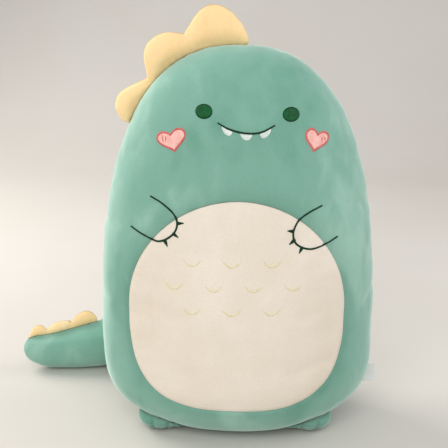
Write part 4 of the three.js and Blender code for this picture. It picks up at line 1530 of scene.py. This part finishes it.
@dataclass
class Tail:
    """The tail, its filling, and the row of three scallops along its top."""

    shape: TailForm
    steps: int = 150
    rows: int = 44
    spike_steps: int = 30
    spike_rows: int = 16
    spike_half_thickness: float = 0.006
    spike_lift: float = -0.0016
    spike_dips: Sequence = (0.0125, 0.0085)
    spikes: Sequence = ((0.668, 0.785, 0.0245), (0.785, 0.893, 0.0185), (0.893, 0.973, 0.0190))
    stuffing: Stuffing = field(default_factory=lambda: Stuffing(voxel=0.005, cap=0.003, pressure=3.0))

    def pillow(self) -> tuple[Pillow, Array, Array]:
        """The tail's plain form, with each point's distance from the edge seam and along the tail."""
        u = 1 - (1 - np.linspace(0, 1, self.steps)) ** 1.15
        u[-1] = 0.9999
        centre, across, half_height, half_thickness = self.shape.at(u)
        turn = (np.linspace(0, 1, self.rows) - 0.5) * math.pi
        z = centre[None, :, 2] + half_height[None, :] * np.sin(turn)[:, None]
        follow = np.clip(1 - u / self.shape.pinch, 0, 1) ** 2
        line = np.repeat(centre[None], self.rows, axis=0)
        line[:, :, 1] += follow[None, :] * self.shape.root_y(z)
        line[:, :, 2] = z
        swell = np.clip(half_thickness[None, :] * np.cos(turn)[:, None], 0, None)
        offset = across[None] * swell[:, :, None]
        from_seam = half_height[None, :] * (math.pi / 2 - np.abs(turn))[:, None]
        length = np.tile(lengths_along(centre), (self.rows, 1))
        return Pillow(line + offset, line - offset), from_seam, length

    def spike_pillow(self) -> tuple[Pillow, Array, Array]:
        """The plain form of the row of scallops, with distances from its edge and along it."""
        u, k, t, dome = scallop_shares(len(self.spikes), self.spike_steps)
        start, end, height = (np.array([spike[n] for spike in self.spikes])[k] for n in range(3))
        dips = np.array([FABRIC, *self.spike_dips, FABRIC])
        foot = np.where(t < 0.5, dips[k], dips[k + 1])
        centre, across, half_height, _ = self.shape.at(start + (end - start) * t)
        v = np.linspace(0, 1, self.spike_rows)
        rise = foot + (height - foot) * dome
        line = np.repeat(centre[None], self.spike_rows, axis=0)
        line[:, :, 2] += (half_height + self.spike_lift)[None, :] + rise[None, :] * v[:, None]
        close = np.clip(np.minimum(u, 1 - u) / 0.03, 0, 1) ** 0.5
        thick = self.spike_half_thickness * (0.3 + 0.7 * dome) * np.sin(math.pi * v)[:, None] ** 0.7 * close
        offset = across[None] * thick[:, :, None]
        from_edge = np.minimum(1 - v, v)[:, None] * rise[None, :]
        length = np.tile(lengths_along(centre), (self.spike_rows, 1))
        return Pillow(line + offset, line - offset), from_edge, length

    def build(self, wardrobe: Wardrobe) -> None:
        """Makes and dresses the tail."""
        pillow, from_seam, along = self.pillow()

        def held(points: Array) -> Array:
            root = np.clip(1 - np.hypot(points[:, 0], points[:, 1] - 0.11) / 0.04, 0, 1)
            return np.maximum(np.clip(2 * root, 0, 1), np.clip(1 - points[:, 2] / 0.004, 0, 1))

        def shape(laid: Array) -> Array:
            gathers = puckers(from_seam.ravel(), along.ravel(), 0.0006, 0.017, 0.009)
            return dip(from_seam.ravel(), 0.0012, 0.0026) + gathers + waves(laid, 0.06, 0.0011, 6)

        edge = np.minimum(from_seam / 0.005, along / 0.012)
        pieces = sewn_pillow(pillow, "tail", self.stuffing, 0.97, held, shape, edge)
        pieces.append(pillow.filling("tail_filling", 0.0090, 8, 10))
        wardrobe.dress_all(pieces, Slot.GREEN_PLUSH, "tail", cloth_nodes("tail"))

    def build_spikes(self, wardrobe: Wardrobe) -> None:
        """Makes and dresses the row of scallops."""
        row, from_edge, along = self.spike_pillow()

        def held(points: Array) -> Array:
            return np.full(len(points), 0.35)

        def shape(laid: Array) -> Array:
            gathers = puckers(from_edge.ravel(), along.ravel(), 0.0003, 0.008, 0.004)
            return dip(from_edge.ravel(), 0.0005, 0.0012) + gathers

        small = Stuffing(voxel=0.002, cap=0.0015, pressure=2.0)
        pieces = sewn_pillow(row, "tail_spikes", small, 0.95, held, shape, from_edge / 0.002)
        pieces.append(row.filling("tail_spikes_filling", 0.0022, 2))
        wardrobe.dress_all(pieces, Slot.YELLOW_PLUSH, "tail", cloth_nodes("tail_spikes"))


@dataclass
class Foot:
    """A small foot tucked under the front: an upper, a sole and the filling.

    It is a rounded block: a ring where the shares of the half width and half length to the power 2.35
    add up to 1, drawn in towards the top and the floor like a circle. It is pressed from above by the
    body's underside and dimpled at the front between its toes.
    """

    form: BodyForm
    hand: Hand
    x: float = 0.105
    y: float = -0.036
    half_width: float = 0.033
    half_length: float = 0.037
    half_height: float = 0.017
    power: float = 2.35
    floor_gap: float = 0.0004
    clearance: float = 0.0010
    seam_height: float = 0.0114
    toes: Sequence = (-0.30, 0.30)
    toe_depth: float = 0.0045
    right_shift: float = 0.0028
    columns: int = 120

    @property
    def middle_x(self) -> float:
        """Where the foot's middle is across; the right one was sewn a little nearer the middle."""
        return -self.x if self.hand is Hand.LEFT else self.x - self.right_shift

    def ring(self, level: Array, inset: float) -> Array:
        """Rings of the foot at levels from -1 under it to 1 on top of it, drawn in by inset."""
        angle = np.arange(self.columns) * TAU / self.columns
        size = clipped_root(1 - np.abs(level) ** 2.0, 2.0)[:, None] ** 0.92
        ahead = np.angle(np.exp(1j * (angle + math.pi / 2)))
        dents = sum(np.exp(-(((ahead - toe) / 0.09) ** 2)) for toe in self.toes)[None, :] * self.toe_depth
        dents = dents * np.clip(1 - np.maximum(level, 0) / 0.8, 0, 1)[:, None] * np.clip(size * 3 - 1.6, 0, 1)
        x = (self.half_width - inset) * size * rounded(np.cos(angle), self.power)
        y = (self.half_length - inset) * size * rounded(np.sin(angle), self.power)
        length = np.maximum(np.hypot(x, y), 1e-9)
        shrink = 1 - dents / np.maximum(length, dents * 2 + 1e-9)
        z = np.repeat(((self.half_height - inset) * level)[:, None], self.columns, axis=1)
        points = np.stack([x * shrink, y * shrink, z], axis=-1)
        return self.pressed(points + [self.middle_x, self.y, self.floor_gap + self.half_height], inset)

    def pressed(self, points: Array, inset: float) -> Array:
        """Lowers the points that would be inside the body, softly where they meet it."""
        limit = self.form.underside(points[..., 0], points[..., 1]) - self.clearance - inset
        blend = 0.0015
        gap = points[..., 2] - limit
        points[..., 2] -= blend * np.logaddexp(0, gap / blend)
        points[..., 2] = np.maximum(points[..., 2], self.floor_gap + inset)
        return points

    def half(self, name: str, low: float, high: float) -> Piece:
        """The upper or the sole: the rings from one level to another, with a pole at the outer one."""
        turn = np.sort(np.arcsin(np.array([low, high])))
        level = np.sin(np.linspace(turn[0], turn[1], 34))
        pole_at = 1.0 if high > 0.9 else -1.0
        level = level[:-1] if pole_at > 0 else level[1:]
        rings = self.ring(level, 0.0)
        rows = len(level)
        pole = self.ring(np.array([pole_at * 0.99999]), 0.0).mean(axis=(0, 1))
        points = np.vstack([rings.reshape(-1, 3), pole])
        near = (rows - 1) * self.columns if pole_at > 0 else 0
        j = np.arange(self.columns)
        k = (j + 1) % self.columns
        end = np.full(self.columns, rows * self.columns)
        first, second = (j, k) if pole_at > 0 else (k, j)
        fan = np.stack([end, near + first, near + second, near + second], axis=1)
        faces = np.vstack([grid_faces(rows, self.columns, wrap=True), fan])
        centre = np.array([self.middle_x, self.y, self.seam_height])
        piece = make_piece(name, points, outward(points, faces, centre))
        from_seam = np.abs(points[:, 2] - self.seam_height)
        angle = np.append(np.tile(j / self.columns * TAU * 0.033, rows), 0)
        height = dip(from_seam, 0.0010, 0.0018) + puckers(from_seam, angle, 0.0004, 0.009, 0.005)
        moved = points + normals_of(piece) * height[:, None]
        moved[:, 2] = np.maximum(moved[:, 2], self.floor_gap * 0.5)
        place_points(piece, moved)
        thicken(piece, FABRIC)
        apply_modifiers(piece)
        settled = points_of(piece)
        settled[:, 2] = np.maximum(settled[:, 2], self.floor_gap * 0.5)
        place_points(piece, settled)
        return piece

    def build(self, wardrobe: Wardrobe) -> None:
        """Makes and dresses the foot."""
        body = f"foot_{self.hand.name.lower()}"
        split = (self.seam_height - self.floor_gap - self.half_height) / self.half_height
        upper = self.half(f"{body}_upper_cloth", split, 1.0)
        sole = self.half(f"{body}_sole_cloth", -1.0, split)
        # Painted shade over the whole upper and sole: every point gets the least mark, 0.4, darkening the
        # feet tucked under the body.
        for piece in (upper, sole):
            paint_seam_shade(piece, np.ones(len(piece.data.vertices)), least=0.4)
        rings = self.ring(np.sin(np.linspace(-1.5, 1.5, 24)), 0.0045)
        poles = np.array([rings[0].mean(0), rings[-1].mean(0)])
        points = np.vstack([rings.reshape(-1, 3), poles])
        filling = make_piece(f"{body}_filling", points, outward(points, closed_faces(24, self.columns)))
        nodes = [f"{body}_{part}" for part in ("upper", "sole", "stuffing")]
        wardrobe.dress_all((upper, sole, filling), Slot.GREEN_PLUSH, body, nodes)


@dataclass
class Label:
    """The woven label in the side seam, a ribbon folded over and sewn in."""

    form: BodyForm
    bottom: float = 0.048
    height: float = 0.027
    reach: float = 0.014
    lift: float = 0.0008

    def build(self, wardrobe: Wardrobe) -> None:
        """Makes and dresses the label: a flat ribbon with a slight curl towards its free edge."""
        u, v = np.meshgrid(np.linspace(0, 1, 28), np.linspace(0, 1, 20), indexing="ij")
        z = self.bottom + self.height * u
        root = self.form.halves(z)[0] + self.lift
        edge = self.form.halves(np.array(self.bottom + self.height))[0] + self.reach
        curl = -0.0016 * v**2 + 0.0005 * np.sin(u * 5.0) * v
        x = root + (edge - root) * v
        points = np.stack([x, self.form.seam_y + curl, z], axis=-1).reshape(-1, 3)
        faces = grid_faces(28, 20)
        ribbon = make_piece("satin_label", points, outward(points, faces, np.array([0.19, 1.0, 0.06])))
        thicken(ribbon, 0.0005)
        wardrobe.dress(ribbon, Slot.SATIN, "label", "care_label")


# ------------------------------------------------------------------ embroidery


@dataclass
class Patch:
    """A closed low relief of stitches: a grid of places on the body's x and z, and its height above it.

    Attributes:
        place: Places, n x m x 2.
        height: Height of the threads' tops above the fabric, n x m.
        sink: How deep the underside lies in the pile.
        wrap: Whether the grid closes on itself.
        finish: Number of the material that it takes on its piece.
    """

    place: Array
    height: Array
    sink: float
    wrap: bool = False
    finish: int = 0

    def solid(self, surface: HeightMap) -> tuple[Array, Array]:
        """Points and faces of the closed relief on a surface."""
        n, m = self.height.shape
        x, z = self.place[..., 0], self.place[..., 1]
        top = surface.above(x, z, self.height)
        low = surface.above(x, z, np.full((n, m), -self.sink))
        points = np.vstack([top.reshape(-1, 3), low.reshape(-1, 3)])
        at = np.arange(n * m).reshape(n, m)
        if self.wrap:
            at = np.vstack([at, at[:1]])
        quads = np.stack([at[:-1, :-1], at[:-1, 1:], at[1:, 1:], at[1:, :-1]], axis=-1).reshape(-1, 4)
        edges = [(at[:, 0], 1), (at[:, -1], -1)]
        if not self.wrap:
            edges += [(at[0], -1), (at[-1], 1)]
        walls = [
            np.stack([edge[:-1], edge[1:], edge[1:] + n * m, edge[:-1] + n * m], axis=1)[:, ::way]
            for edge, way in edges
        ]
        faces = np.vstack([quads, quads[:, ::-1] + n * m, *walls])
        first, second, third = points[quads[:, 0]], points[quads[:, 1]], points[quads[:, 2]]
        normal = np.cross(second - first, third - first)
        facing = (normal * (top - low).reshape(-1, 3)[quads[:, 0]]).sum()
        return points, faces if facing > 0 else faces[:, ::-1]


@dataclass(frozen=True)
class Stitches:
    """How densely and how high a place is embroidered.

    Attributes:
        pitch: Distance between threads.
        height: Height of the threads.
        sink: How deep they are drawn into the pile.
        slant: How far a thread leans along its line, as a share of its length.
        samples: Points across a thread.
        seed: Which set of small differences between threads.
    """

    pitch: float = 0.0006
    height: float = 0.0012
    sink: float = 0.0005
    slant: float = 0.35
    samples: int = 5
    seed: int = 0

    def ribs(self, phase: Array) -> Array:
        """The round tops of threads that lie side by side, as a share of their height."""
        across = 2 * np.mod(phase, 1) - 1
        return np.sqrt(1 - 0.85 * across**2)

    def uneven(self, phase: Array, share: float) -> Array:
        """One seeded factor near 1 for each thread."""
        draw = np.random.default_rng(SEED + 100 + self.seed).normal(size=4096)
        return 1 + share * draw[np.mod(np.floor(phase).astype(int), 4096)]

    def line(self, route: Array, width: Sequence, closed: bool = False) -> Patch:
        """A satin-stitched line: short threads laid across a route, round over its width.

        Args:
            route: The places that the line follows, n x 2, close together.
            width: Its widths, spread evenly along the route.
            closed: Whether the route ends where it starts.

        Returns:
            The relief.
        """
        total = lengths_along(route)[-1]
        count = max(int(total / self.pitch * self.samples), 12)
        s = np.linspace(0, total, count, endpoint=not closed)
        place = read_line(route, s)
        step = total / 400
        further, nearer = s + step, s - step
        if closed:
            further, nearer = np.mod(further, total), np.mod(nearer, total)
        else:
            further, nearer = np.minimum(further, total), np.maximum(nearer, 0)
        ahead = read_line(route, further) - read_line(route, nearer)
        ahead /= np.maximum(np.linalg.norm(ahead, axis=1, keepdims=True), 1e-12)
        half = np.interp(s / total, np.linspace(0, 1, len(width)), np.array(width)) / 2
        if not closed:
            near = np.clip(np.minimum(s, total - s) / np.maximum(half, 1e-6), 0, 1)
            half = half * np.sqrt(np.clip(1 - (1 - near) ** 2, 0.03, 1))
        half = half * self.uneven(s / self.pitch, 0.035)
        v = np.linspace(-1, 1, 9)
        side = np.stack([-ahead[:, 1], ahead[:, 0]], axis=1)
        places = place[:, None] + side[:, None] * (half[:, None] * v)[:, :, None]
        phase = (s[:, None] + self.slant * half[:, None] * v) / self.pitch
        thin = np.clip(half / 0.0010, 0.35, 1)[:, None]
        top = self.height * np.clip(1 - np.abs(v) ** 2.4, 0, 1) ** 0.6 * thin
        return Patch(places, top * self.ribs(phase) * self.uneven(phase, 0.05), self.sink, closed)

    def fill(self, lower: Rule, upper: Rule, length: float, finish: int = 0) -> Patch:
        """A filled shape: long threads side by side from a lower to an upper edge.

        Args:
            lower: Gives places on the lower edge for shares from 0 to 1 across the shape.
            upper: The same for the upper edge.
            length: How wide the shape is across its threads.
            finish: Number of the material.

        Returns:
            The relief.
        """
        count = int(length / self.pitch * self.samples)
        u = np.linspace(0.004, 0.996, count)
        v = np.linspace(0, 1, 15)
        reach = self.uneven(u * length / self.pitch, 0.012)
        low, high = lower(u), upper(u)
        middle = (low + high) / 2
        low = middle + (low - middle) * reach[:, None]
        high = middle + (high - middle) * reach[:, None]
        places = low[:, None] + (high - low)[:, None] * v[None, :, None]
        size = np.linalg.norm(high - low, axis=1) / 2
        from_ends = np.minimum(v, 1 - v)[None, :] * 2 * size[:, None]
        edge = np.minimum(from_ends, (np.minimum(u, 1 - u) * length)[:, None])
        rim = np.sqrt(np.clip(1 - (1 - np.clip(edge / 0.0012, 0, 1)) ** 2, 0, 1))
        phase = np.tile((u * length / self.pitch)[:, None], (1, len(v)))
        crown = 1 + 0.25 * np.sin(math.pi * v)[None, :] * np.sin(math.pi * u)[:, None]
        top = self.height * rim * crown * (0.7 + 0.3 * self.ribs(phase)) * self.uneven(phase, 0.03)
        return Patch(places, top, self.sink, False, finish)


def embroider(name: str, patches: Sequence, surface: HeightMap) -> Piece:
    """Joins reliefs into one piece on a surface."""
    solids = [patch.solid(surface) for patch in patches]
    finishes = [np.full(len(faces), patch.finish) for patch, (_, faces) in zip(patches, solids)]
    piece = make_piece(name, *together(solids))
    piece.data.polygons.foreach_set("material_index", np.concatenate(finishes).astype(np.int32))
    return piece


def millimetres(route: Sequence, crown: float = 528.0) -> Array:
    """Places in metres from pairs of x and the drop below the crown in millimetres."""
    p = np.array(route, float)
    return np.stack([p[:, 0], crown - p[:, 1]], axis=1) / 1000


def straight(ends: Sequence, first: float, count: int) -> Array:
    """Places from a first share of the way between two ends in millimetres on to the second end."""
    start, end = millimetres(ends)
    return start + (end - start) * np.linspace(first, 1, count)[:, None]


@dataclass
class Face:
    """The embroidered face: two eyes, the mouth, three teeth and two cheek hearts."""

    eyes: Sequence = (("eye_left", -46, 77), ("eye_right", 63, 80))
    eye_half_width: float = 0.0108
    eye_half_height: float = 0.0090
    eye_ring: float = 0.0016
    mouth: Sequence = ((-29, 90), (-14, 97.5), (6, 102), (25, 101), (43, 92.5))
    mouth_width: float = 0.0026
    teeth: Sequence = (
        ("tooth_left", -17, 6.6, 7.2),
        ("tooth_middle", 7, 7.4, 7.2),
        ("tooth_right", 31, 6.8, 7.6),
    )
    cheeks: Sequence = (("left", -85.5, 114, 17.2, 11.6, 16), ("right", 95.5, 113, 13.8, 11.6, -16))
    glints: Sequence = (
        (
            ((-98.2, 107.5), (-97.6, 112.5), (-96.2, 117.0)),
            ((-94.2, 108.5), (-93.4, 112.0), (-93.6, 116.0)),
        ),
        (
            ((101.0, 108.5), (102.6, 111.5), (102.8, 116.0)),
            ((104.8, 108.0), (106.6, 111.5), (106.8, 115.5)),
        ),
    )
    glint_lift: float = 0.0012
    border: float = 0.0026
    heart_power: float = 2.35

    def make_eye(self, name: str, x: float, drop: float, surface: HeightMap) -> Piece:
        """An eye: an oval of upright threads with a darker stitched rim."""
        centre = millimetres([(x, drop)])[0]
        size = np.array([self.eye_half_width, self.eye_half_height])
        inner = size - 0.0009

        def edge(sign: int) -> Rule:
            def read(u: Array) -> Array:
                cos = 2 * u - 1
                return centre + np.stack([inner[0] * cos, sign * inner[1] * np.sqrt(1 - cos**2)], axis=1)

            return read

        angle = np.linspace(0, TAU, 400)
        rim = centre + np.stack([np.cos(angle), np.sin(angle)], axis=1) * (size - 0.0008)
        fill = Stitches(height=0.0016).fill(edge(-1), edge(1), 2 * inner[0], finish=1)
        ring = Stitches(height=0.0013).line(rim, [self.eye_ring, self.eye_ring], closed=True)
        return embroider(f"{name}_stitching", [fill, ring], surface)

    def heart(self, cheek: tuple, angle: Array, grow: float) -> Array:
        """Places on a heart's edge: a power of the sine across and four cosines up, turned by its tilt."""
        _, x, drop, half_width, half_height, tilt = cheek
        across = (half_width + grow * 1000) / 1000 * rounded(np.sin(angle), 2 / self.heart_power)
        rise = 13 * np.cos(angle) - 5 * np.cos(2 * angle) - 2 * np.cos(3 * angle) - np.cos(4 * angle) + 2.5
        up = (half_height + grow * 1000) / 1000 * rise / 14.5
        cos, sin = math.cos(math.radians(tilt)), math.sin(math.radians(tilt))
        centre = millimetres([(x, drop)])[0]
        return centre + np.stack([across * cos - up * sin, across * sin + up * cos], axis=-1)

    def make_cheek(self, cheek: tuple, glints: Sequence, surface: HeightMap) -> tuple[Piece, Piece]:
        """A cheek heart's fill, and its outline with two short glint strokes."""

        def edge(top: bool) -> Rule:
            def read(u: Array) -> Array:
                across = 2 * u - 1
                angle = np.arcsin(np.abs(across) ** (1 / self.heart_power))
                angle = angle if top else math.pi - angle
                return self.heart(cheek, np.sign(across) * angle, 0.0)

            return read

        fill = Stitches(height=0.0011, seed=3).fill(edge(False), edge(True), 2 * cheek[3] / 1000)
        angle = np.linspace(0.03, TAU - 0.03, 600)
        route = self.heart(cheek, angle, 0.0010)
        outline = Stitches(height=0.0014, seed=4).line(route, [self.border, self.border], closed=True)
        patches = [outline]
        for glint in glints:
            stroke = spline(millimetres(glint), np.linspace(0, 1, 40))
            mark = Stitches(height=0.0011, sink=0.0, seed=5).line(stroke, [0.0006, 0.0014, 0.0006])
            mark.height += self.glint_lift
            patches.append(mark)
        filled = embroider(f"cheek_{cheek[0]}_stitching", [fill], surface)
        return filled, embroider(f"cheek_outline_{cheek[0]}_stitching", patches, surface)

    def make_tooth(self, tooth: tuple, line: Array, surface: HeightMap) -> Piece:
        """A tooth: upright threads that hang from the mouth's line and end in a round edge."""
        name, x, half_width, depth = tooth
        reach = np.array([x - half_width, x + half_width]) / 1000

        def top(u: Array) -> Array:
            across = reach[0] + (reach[1] - reach[0]) * u
            lip = np.interp(across, line[:, 0], line[:, 1]) - self.mouth_width / 2 + 0.0002
            return np.stack([across, lip], axis=1)

        def bottom(u: Array) -> Array:
            fall = depth / 1000 * np.sqrt(np.clip(1 - np.abs(2 * u - 1) ** 2.3, 0, 1))
            return top(u) - np.stack([np.zeros_like(u), fall], axis=1)

        fill = Stitches(height=0.0012, seed=6).fill(bottom, top, (reach[1] - reach[0]))
        return embroider(f"{name}_stitching", [fill], surface)

    def build(self, wardrobe: Wardrobe, surface: HeightMap) -> None:
        """Makes and dresses the face."""
        for eye in self.eyes:
            piece = self.make_eye(*eye, surface)
            piece.data.materials.append(wardrobe.materials[Slot.DARK_THREAD])
            piece.data.materials.append(wardrobe.eye)
            wardrobe.dress(piece, Slot.DARK_THREAD, "body", eye[0])
        line = spline(millimetres(self.mouth), np.linspace(0, 1, 300))
        widths = [0.0018, self.mouth_width, self.mouth_width, self.mouth_width, 0.0018]
        mouth = embroider("mouth_stitching", [Stitches(seed=1).line(line, widths)], surface)
        wardrobe.dress(mouth, Slot.DARK_THREAD, "body", "mouth")
        for tooth in self.teeth:
            wardrobe.dress(self.make_tooth(tooth, line, surface), Slot.WHITE_FELT, "body", tooth[0])
        for cheek, glints in zip(self.cheeks, self.glints):
            fill, outline = self.make_cheek(cheek, glints, surface)
            wardrobe.dress(fill, Slot.PINK_FELT, "body", f"cheek_{cheek[0]}")
            wardrobe.dress(outline, Slot.ROSE_THREAD, "body", f"cheek_outline_{cheek[0]}")


@dataclass
class Arms:
    """The two embroidered arms, each a bent line with three claws."""

    width: float = 0.0027
    names: Sequence = ("arm_left", "arm_right")
    routes: Sequence = (
        ((-114, 184), (-98, 192), (-83, 205), (-79, 219), (-86, 232), (-103, 241), (-122, 235), (-140, 226)),
        ((105, 193), (88, 201), (74, 212), (68, 227), (73, 241), (90, 248), (109, 244), (127, 235)),
    )
    claws: Sequence = (
        (((-79, 216), (-70, 215)), ((-84, 229), (-77, 234)), ((-95, 239), (-91, 247))),
        (((68, 224), (60, 223)), ((70, 235), (63, 241)), ((80, 245), (76, 253))),
    )
    claw_root: float = 0.0058
    claw_tip: float = 0.0009

    def build(self, wardrobe: Wardrobe, surface: HeightMap) -> None:
        """Makes and dresses the arms."""
        widths = [self.width * 0.8, self.width, self.width, self.width * 0.8]
        claw_widths = [self.claw_root, self.claw_root * 0.7, self.claw_tip]
        for name, route, claws in zip(self.names, self.routes, self.claws):
            line = spline(millimetres(route), np.linspace(0, 1, 400))
            patches = [Stitches(seed=7).line(line, widths)]
            for claw in claws:
                patches.append(Stitches(seed=8, slant=0.1).line(straight(claw, -0.12, 40), claw_widths))
            piece = embroider(f"{name}_stitching", patches, surface)
            wardrobe.dress(piece, Slot.DARK_THREAD, "body", name)


@dataclass
class BellyScales:
    """Ten small bowed scales stitched in three rows on the belly, each with short strokes in its bow."""

    pitch: float = 51
    width: float = 23
    depth: float = 8
    thread: float = 0.0021
    rows: Sequence = ((261, -60, 3), (293, -83, 4), (325, -60, 3))

    def build(self, wardrobe: Wardrobe, surface: HeightMap) -> None:
        """Makes and dresses the scales."""
        number = 0
        t = np.linspace(-1, 1, 120)
        for drop, first, count in self.rows:
            for k in range(count):
                number += 1
                x = first + self.pitch * k
                bow = np.stack([x + t * self.width / 2, drop + self.depth * (1 - t**2)], axis=1)
                widths = [0.0011, self.thread, self.thread, 0.0011]
                patches = [Stitches(height=0.0009, seed=10 + number).line(millimetres(bow), widths)]
                for lean in (-0.45, 0.0, 0.45):
                    start = (x + lean * self.width / 2, drop + self.depth * (1 - lean**2) - 1.0)
                    end = (x + lean * self.width * 0.36, start[1] - 3.4)
                    stroke = straight([start, end], 0, 20)
                    patches.append(Stitches(height=0.0005, seed=30 + number).line(stroke, [0.0009, 0.0004]))
                piece = embroider(f"belly_scale_{number}_stitching", patches, surface)
                wardrobe.dress(piece, Slot.PALE_THREAD, "body", f"belly_scale_{number}")


@dataclass
class ClosingStitch:
    """The hand-sewn ladder of stitches that closes the back seam over the filling."""

    bottom: float = 0.235
    height: float = 0.090
    count: int = 15
    reach: float = 0.0020
    thread: float = 0.0010

    def build(self, wardrobe: Wardrobe, surface: HeightMap) -> None:
        """Makes and dresses the stitches."""
        draw = np.random.default_rng(SEED + 60).uniform(-1, 1, (self.count, 2))
        patches = []
        for k, (wobble, lean) in enumerate(draw):
            z = self.bottom + self.height * (k + 0.5 + 0.12 * wobble) / self.count
            across = np.linspace(-1, 1, 24) * self.reach
            stroke = np.stack([across, z + across * (0.35 + 0.12 * lean)], axis=1)
            stitch = Stitches(pitch=0.0009, height=0.0009, seed=60 + k)
            patches.append(stitch.line(stroke, [self.thread, self.thread]))
        piece = embroider("closing_ladder_stitch", patches, surface)
        wardrobe.dress(piece, Slot.GREEN_THREAD, "body", "closing_stitch")


# ------------------------------------------------------------------ studio


def stand(made: Piece, axes: Sequence, place: Sequence) -> None:
    """Puts a camera or light into the scene by the directions of its own three axes and its place."""
    matrix = np.eye(4)
    matrix[:3] = np.stack([*axes, place], axis=1)
    made.matrix_world = Matrix(matrix.tolist())
    bpy.context.scene.collection.objects.link(made)


@dataclass
class Studio:
    """A pale seamless floor, soft daylight and the camera.

    Attributes:
        eye: The camera's place.
        pitch: How far it is tipped down.
        roll: How far it is turned about its own axis.
        lens: Its focal length in millimetres.
        floor_color: The floor's usual colour.
        floor_deep: The colour of its deeper patches.
        half_floor: Half the floor's width.
        floor_front: Y of its front edge.
        bend_y: Y where it starts to bend up.
        bend: Radius of the bend.
        wall_top: Height of the wall behind.
        world_color: Colour of the light from all round.
        world_strength: Its strength.
        lamps: Name, place, aim, size, watts and colour of each soft light.
    """

    eye: tuple = (-0.0196, -1.15, 0.5973)
    pitch: float = math.atan(234 / 861.6)
    roll: float = 0.0096
    lens: float = 861.6 * 36 / 448
    floor_color: str = "d3cec7"
    floor_deep: str = "c6beb4"
    half_floor: float = 14.0
    floor_front: float = -12.0
    bend_y: float = 1.6
    bend: float = 1.2
    wall_top: float = 7.0
    world_color: str = "eef1f5"
    world_strength: float = 0.76
    lamps: Sequence = (
        ("window", (-1.6, 0.95, 1.35), (-0.05, 0.0, 0.3), 1.3, 36, "fffcf7"),
        ("front_fill", (-0.5, -2.2, 1.8), (0.0, 0.0, 0.25), 1.9, 35, "fefcfa"),
        ("right_fill", (1.8, 0.3, 1.3), (0.05, 0.0, 0.3), 1.2, 11, "f6f8ff"),
    )

    def camera(self) -> None:
        """Makes the camera: looking along +Y, tipped down, with a slight roll."""
        forward = np.array([0, math.cos(self.pitch), -math.sin(self.pitch)])
        right = np.array([1.0, 0, 0])
        up = np.cross(right, forward)
        rolled = math.cos(self.roll) * right + math.sin(self.roll) * up
        upright = -math.sin(self.roll) * right + math.cos(self.roll) * up
        made = bpy.data.objects.new("camera", bpy.data.cameras.new("camera"))
        made.data.lens = self.lens
        made.data.sensor_width = 36
        made.data.clip_end = 50
        stand(made, (rolled, upright, -forward), self.eye)
        bpy.context.scene.camera = made

    def floor(self) -> None:
        """Makes the floor: flat, then a quarter circle up into a wall."""
        turn = np.linspace(0, math.pi / 2, 24)
        top = self.bend_y + self.bend
        y = np.concatenate([[self.floor_front, 0.0], self.bend_y + np.sin(turn) * self.bend, [top]])
        z = np.concatenate([[0.0, 0.0], self.bend - np.cos(turn) * self.bend, [self.wall_top]])
        sides = [np.stack([np.full(len(y), x), y, z], axis=1) for x in (-self.half_floor, self.half_floor)]
        made = make_piece("studio_floor", np.concatenate(sides), grid_faces(2, len(y)))
        material, tree, place = new_material("pale_floor")
        patches = tree.ranged(tree.noise(place, 2.0, 3.0), 0.3, 0.7, 0.0, 0.25)
        shade = tree.mix(patches, linear(self.floor_color), linear(self.floor_deep))
        matt = {"Base Color": shade, "Roughness": 0.75, "Specular IOR Level": 0.25}
        shader = tree.add("ShaderNodeBsdfPrincipled", matt)
        tree.add("ShaderNodeOutputMaterial", {"Surface": shader.outputs[0]})
        made.data.materials.append(material)

    def light(self, name: str, place: tuple, aim: tuple, size: float, watts: float, color: str) -> None:
        """Adds a soft square light that faces a point."""
        made = bpy.data.objects.new(name, bpy.data.lights.new(name, "AREA"))
        made.data.size = size
        made.data.energy = watts
        made.data.color = linear(color)[:3]
        back = np.array(place) - np.array(aim)
        back = back / np.linalg.norm(back)
        side = np.cross([0, 0, 1.0], back)
        side /= np.linalg.norm(side)
        stand(made, (side, np.cross(back, side), back), place)

    def build(self) -> None:
        """Sets the whole studio up."""
        self.camera()
        self.floor()
        for lamp in self.lamps:
            self.light(*lamp)
        world = bpy.data.worlds.new("studio_air")
        world.use_nodes = True
        air = Tree(world.node_tree)
        glow = {"Color": linear(self.world_color), "Strength": self.world_strength}
        back = air.add("ShaderNodeBackground", glow)
        air.add("ShaderNodeOutputWorld", {"Surface": back.outputs[0]})
        bpy.context.scene.world = world
        bpy.context.scene.view_settings.view_transform = "Standard"


def main() -> None:
    """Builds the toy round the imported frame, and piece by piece."""
    logging.basicConfig(level=logging.INFO, format="%(message)s")
    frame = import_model()
    LOG.info("%d nodes in the frame", len(frame["nodes"]))
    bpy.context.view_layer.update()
    Studio().build()
    wardrobe = Wardrobe()
    form = BodyForm()
    front, back = Body(form).build(wardrobe)
    Face().build(wardrobe, front)
    Arms().build(wardrobe, front)
    BellyScales().build(wardrobe, front)
    ClosingStitch().build(wardrobe, back)
    Crest(form).build(wardrobe)
    tail = Tail(TailForm(form))
    tail.build(wardrobe)
    tail.build_spikes(wardrobe)
    for hand in Hand:
        Foot(form, hand).build(wardrobe)
    Label(form).build(wardrobe)


if __name__ == "__main__":
    main()
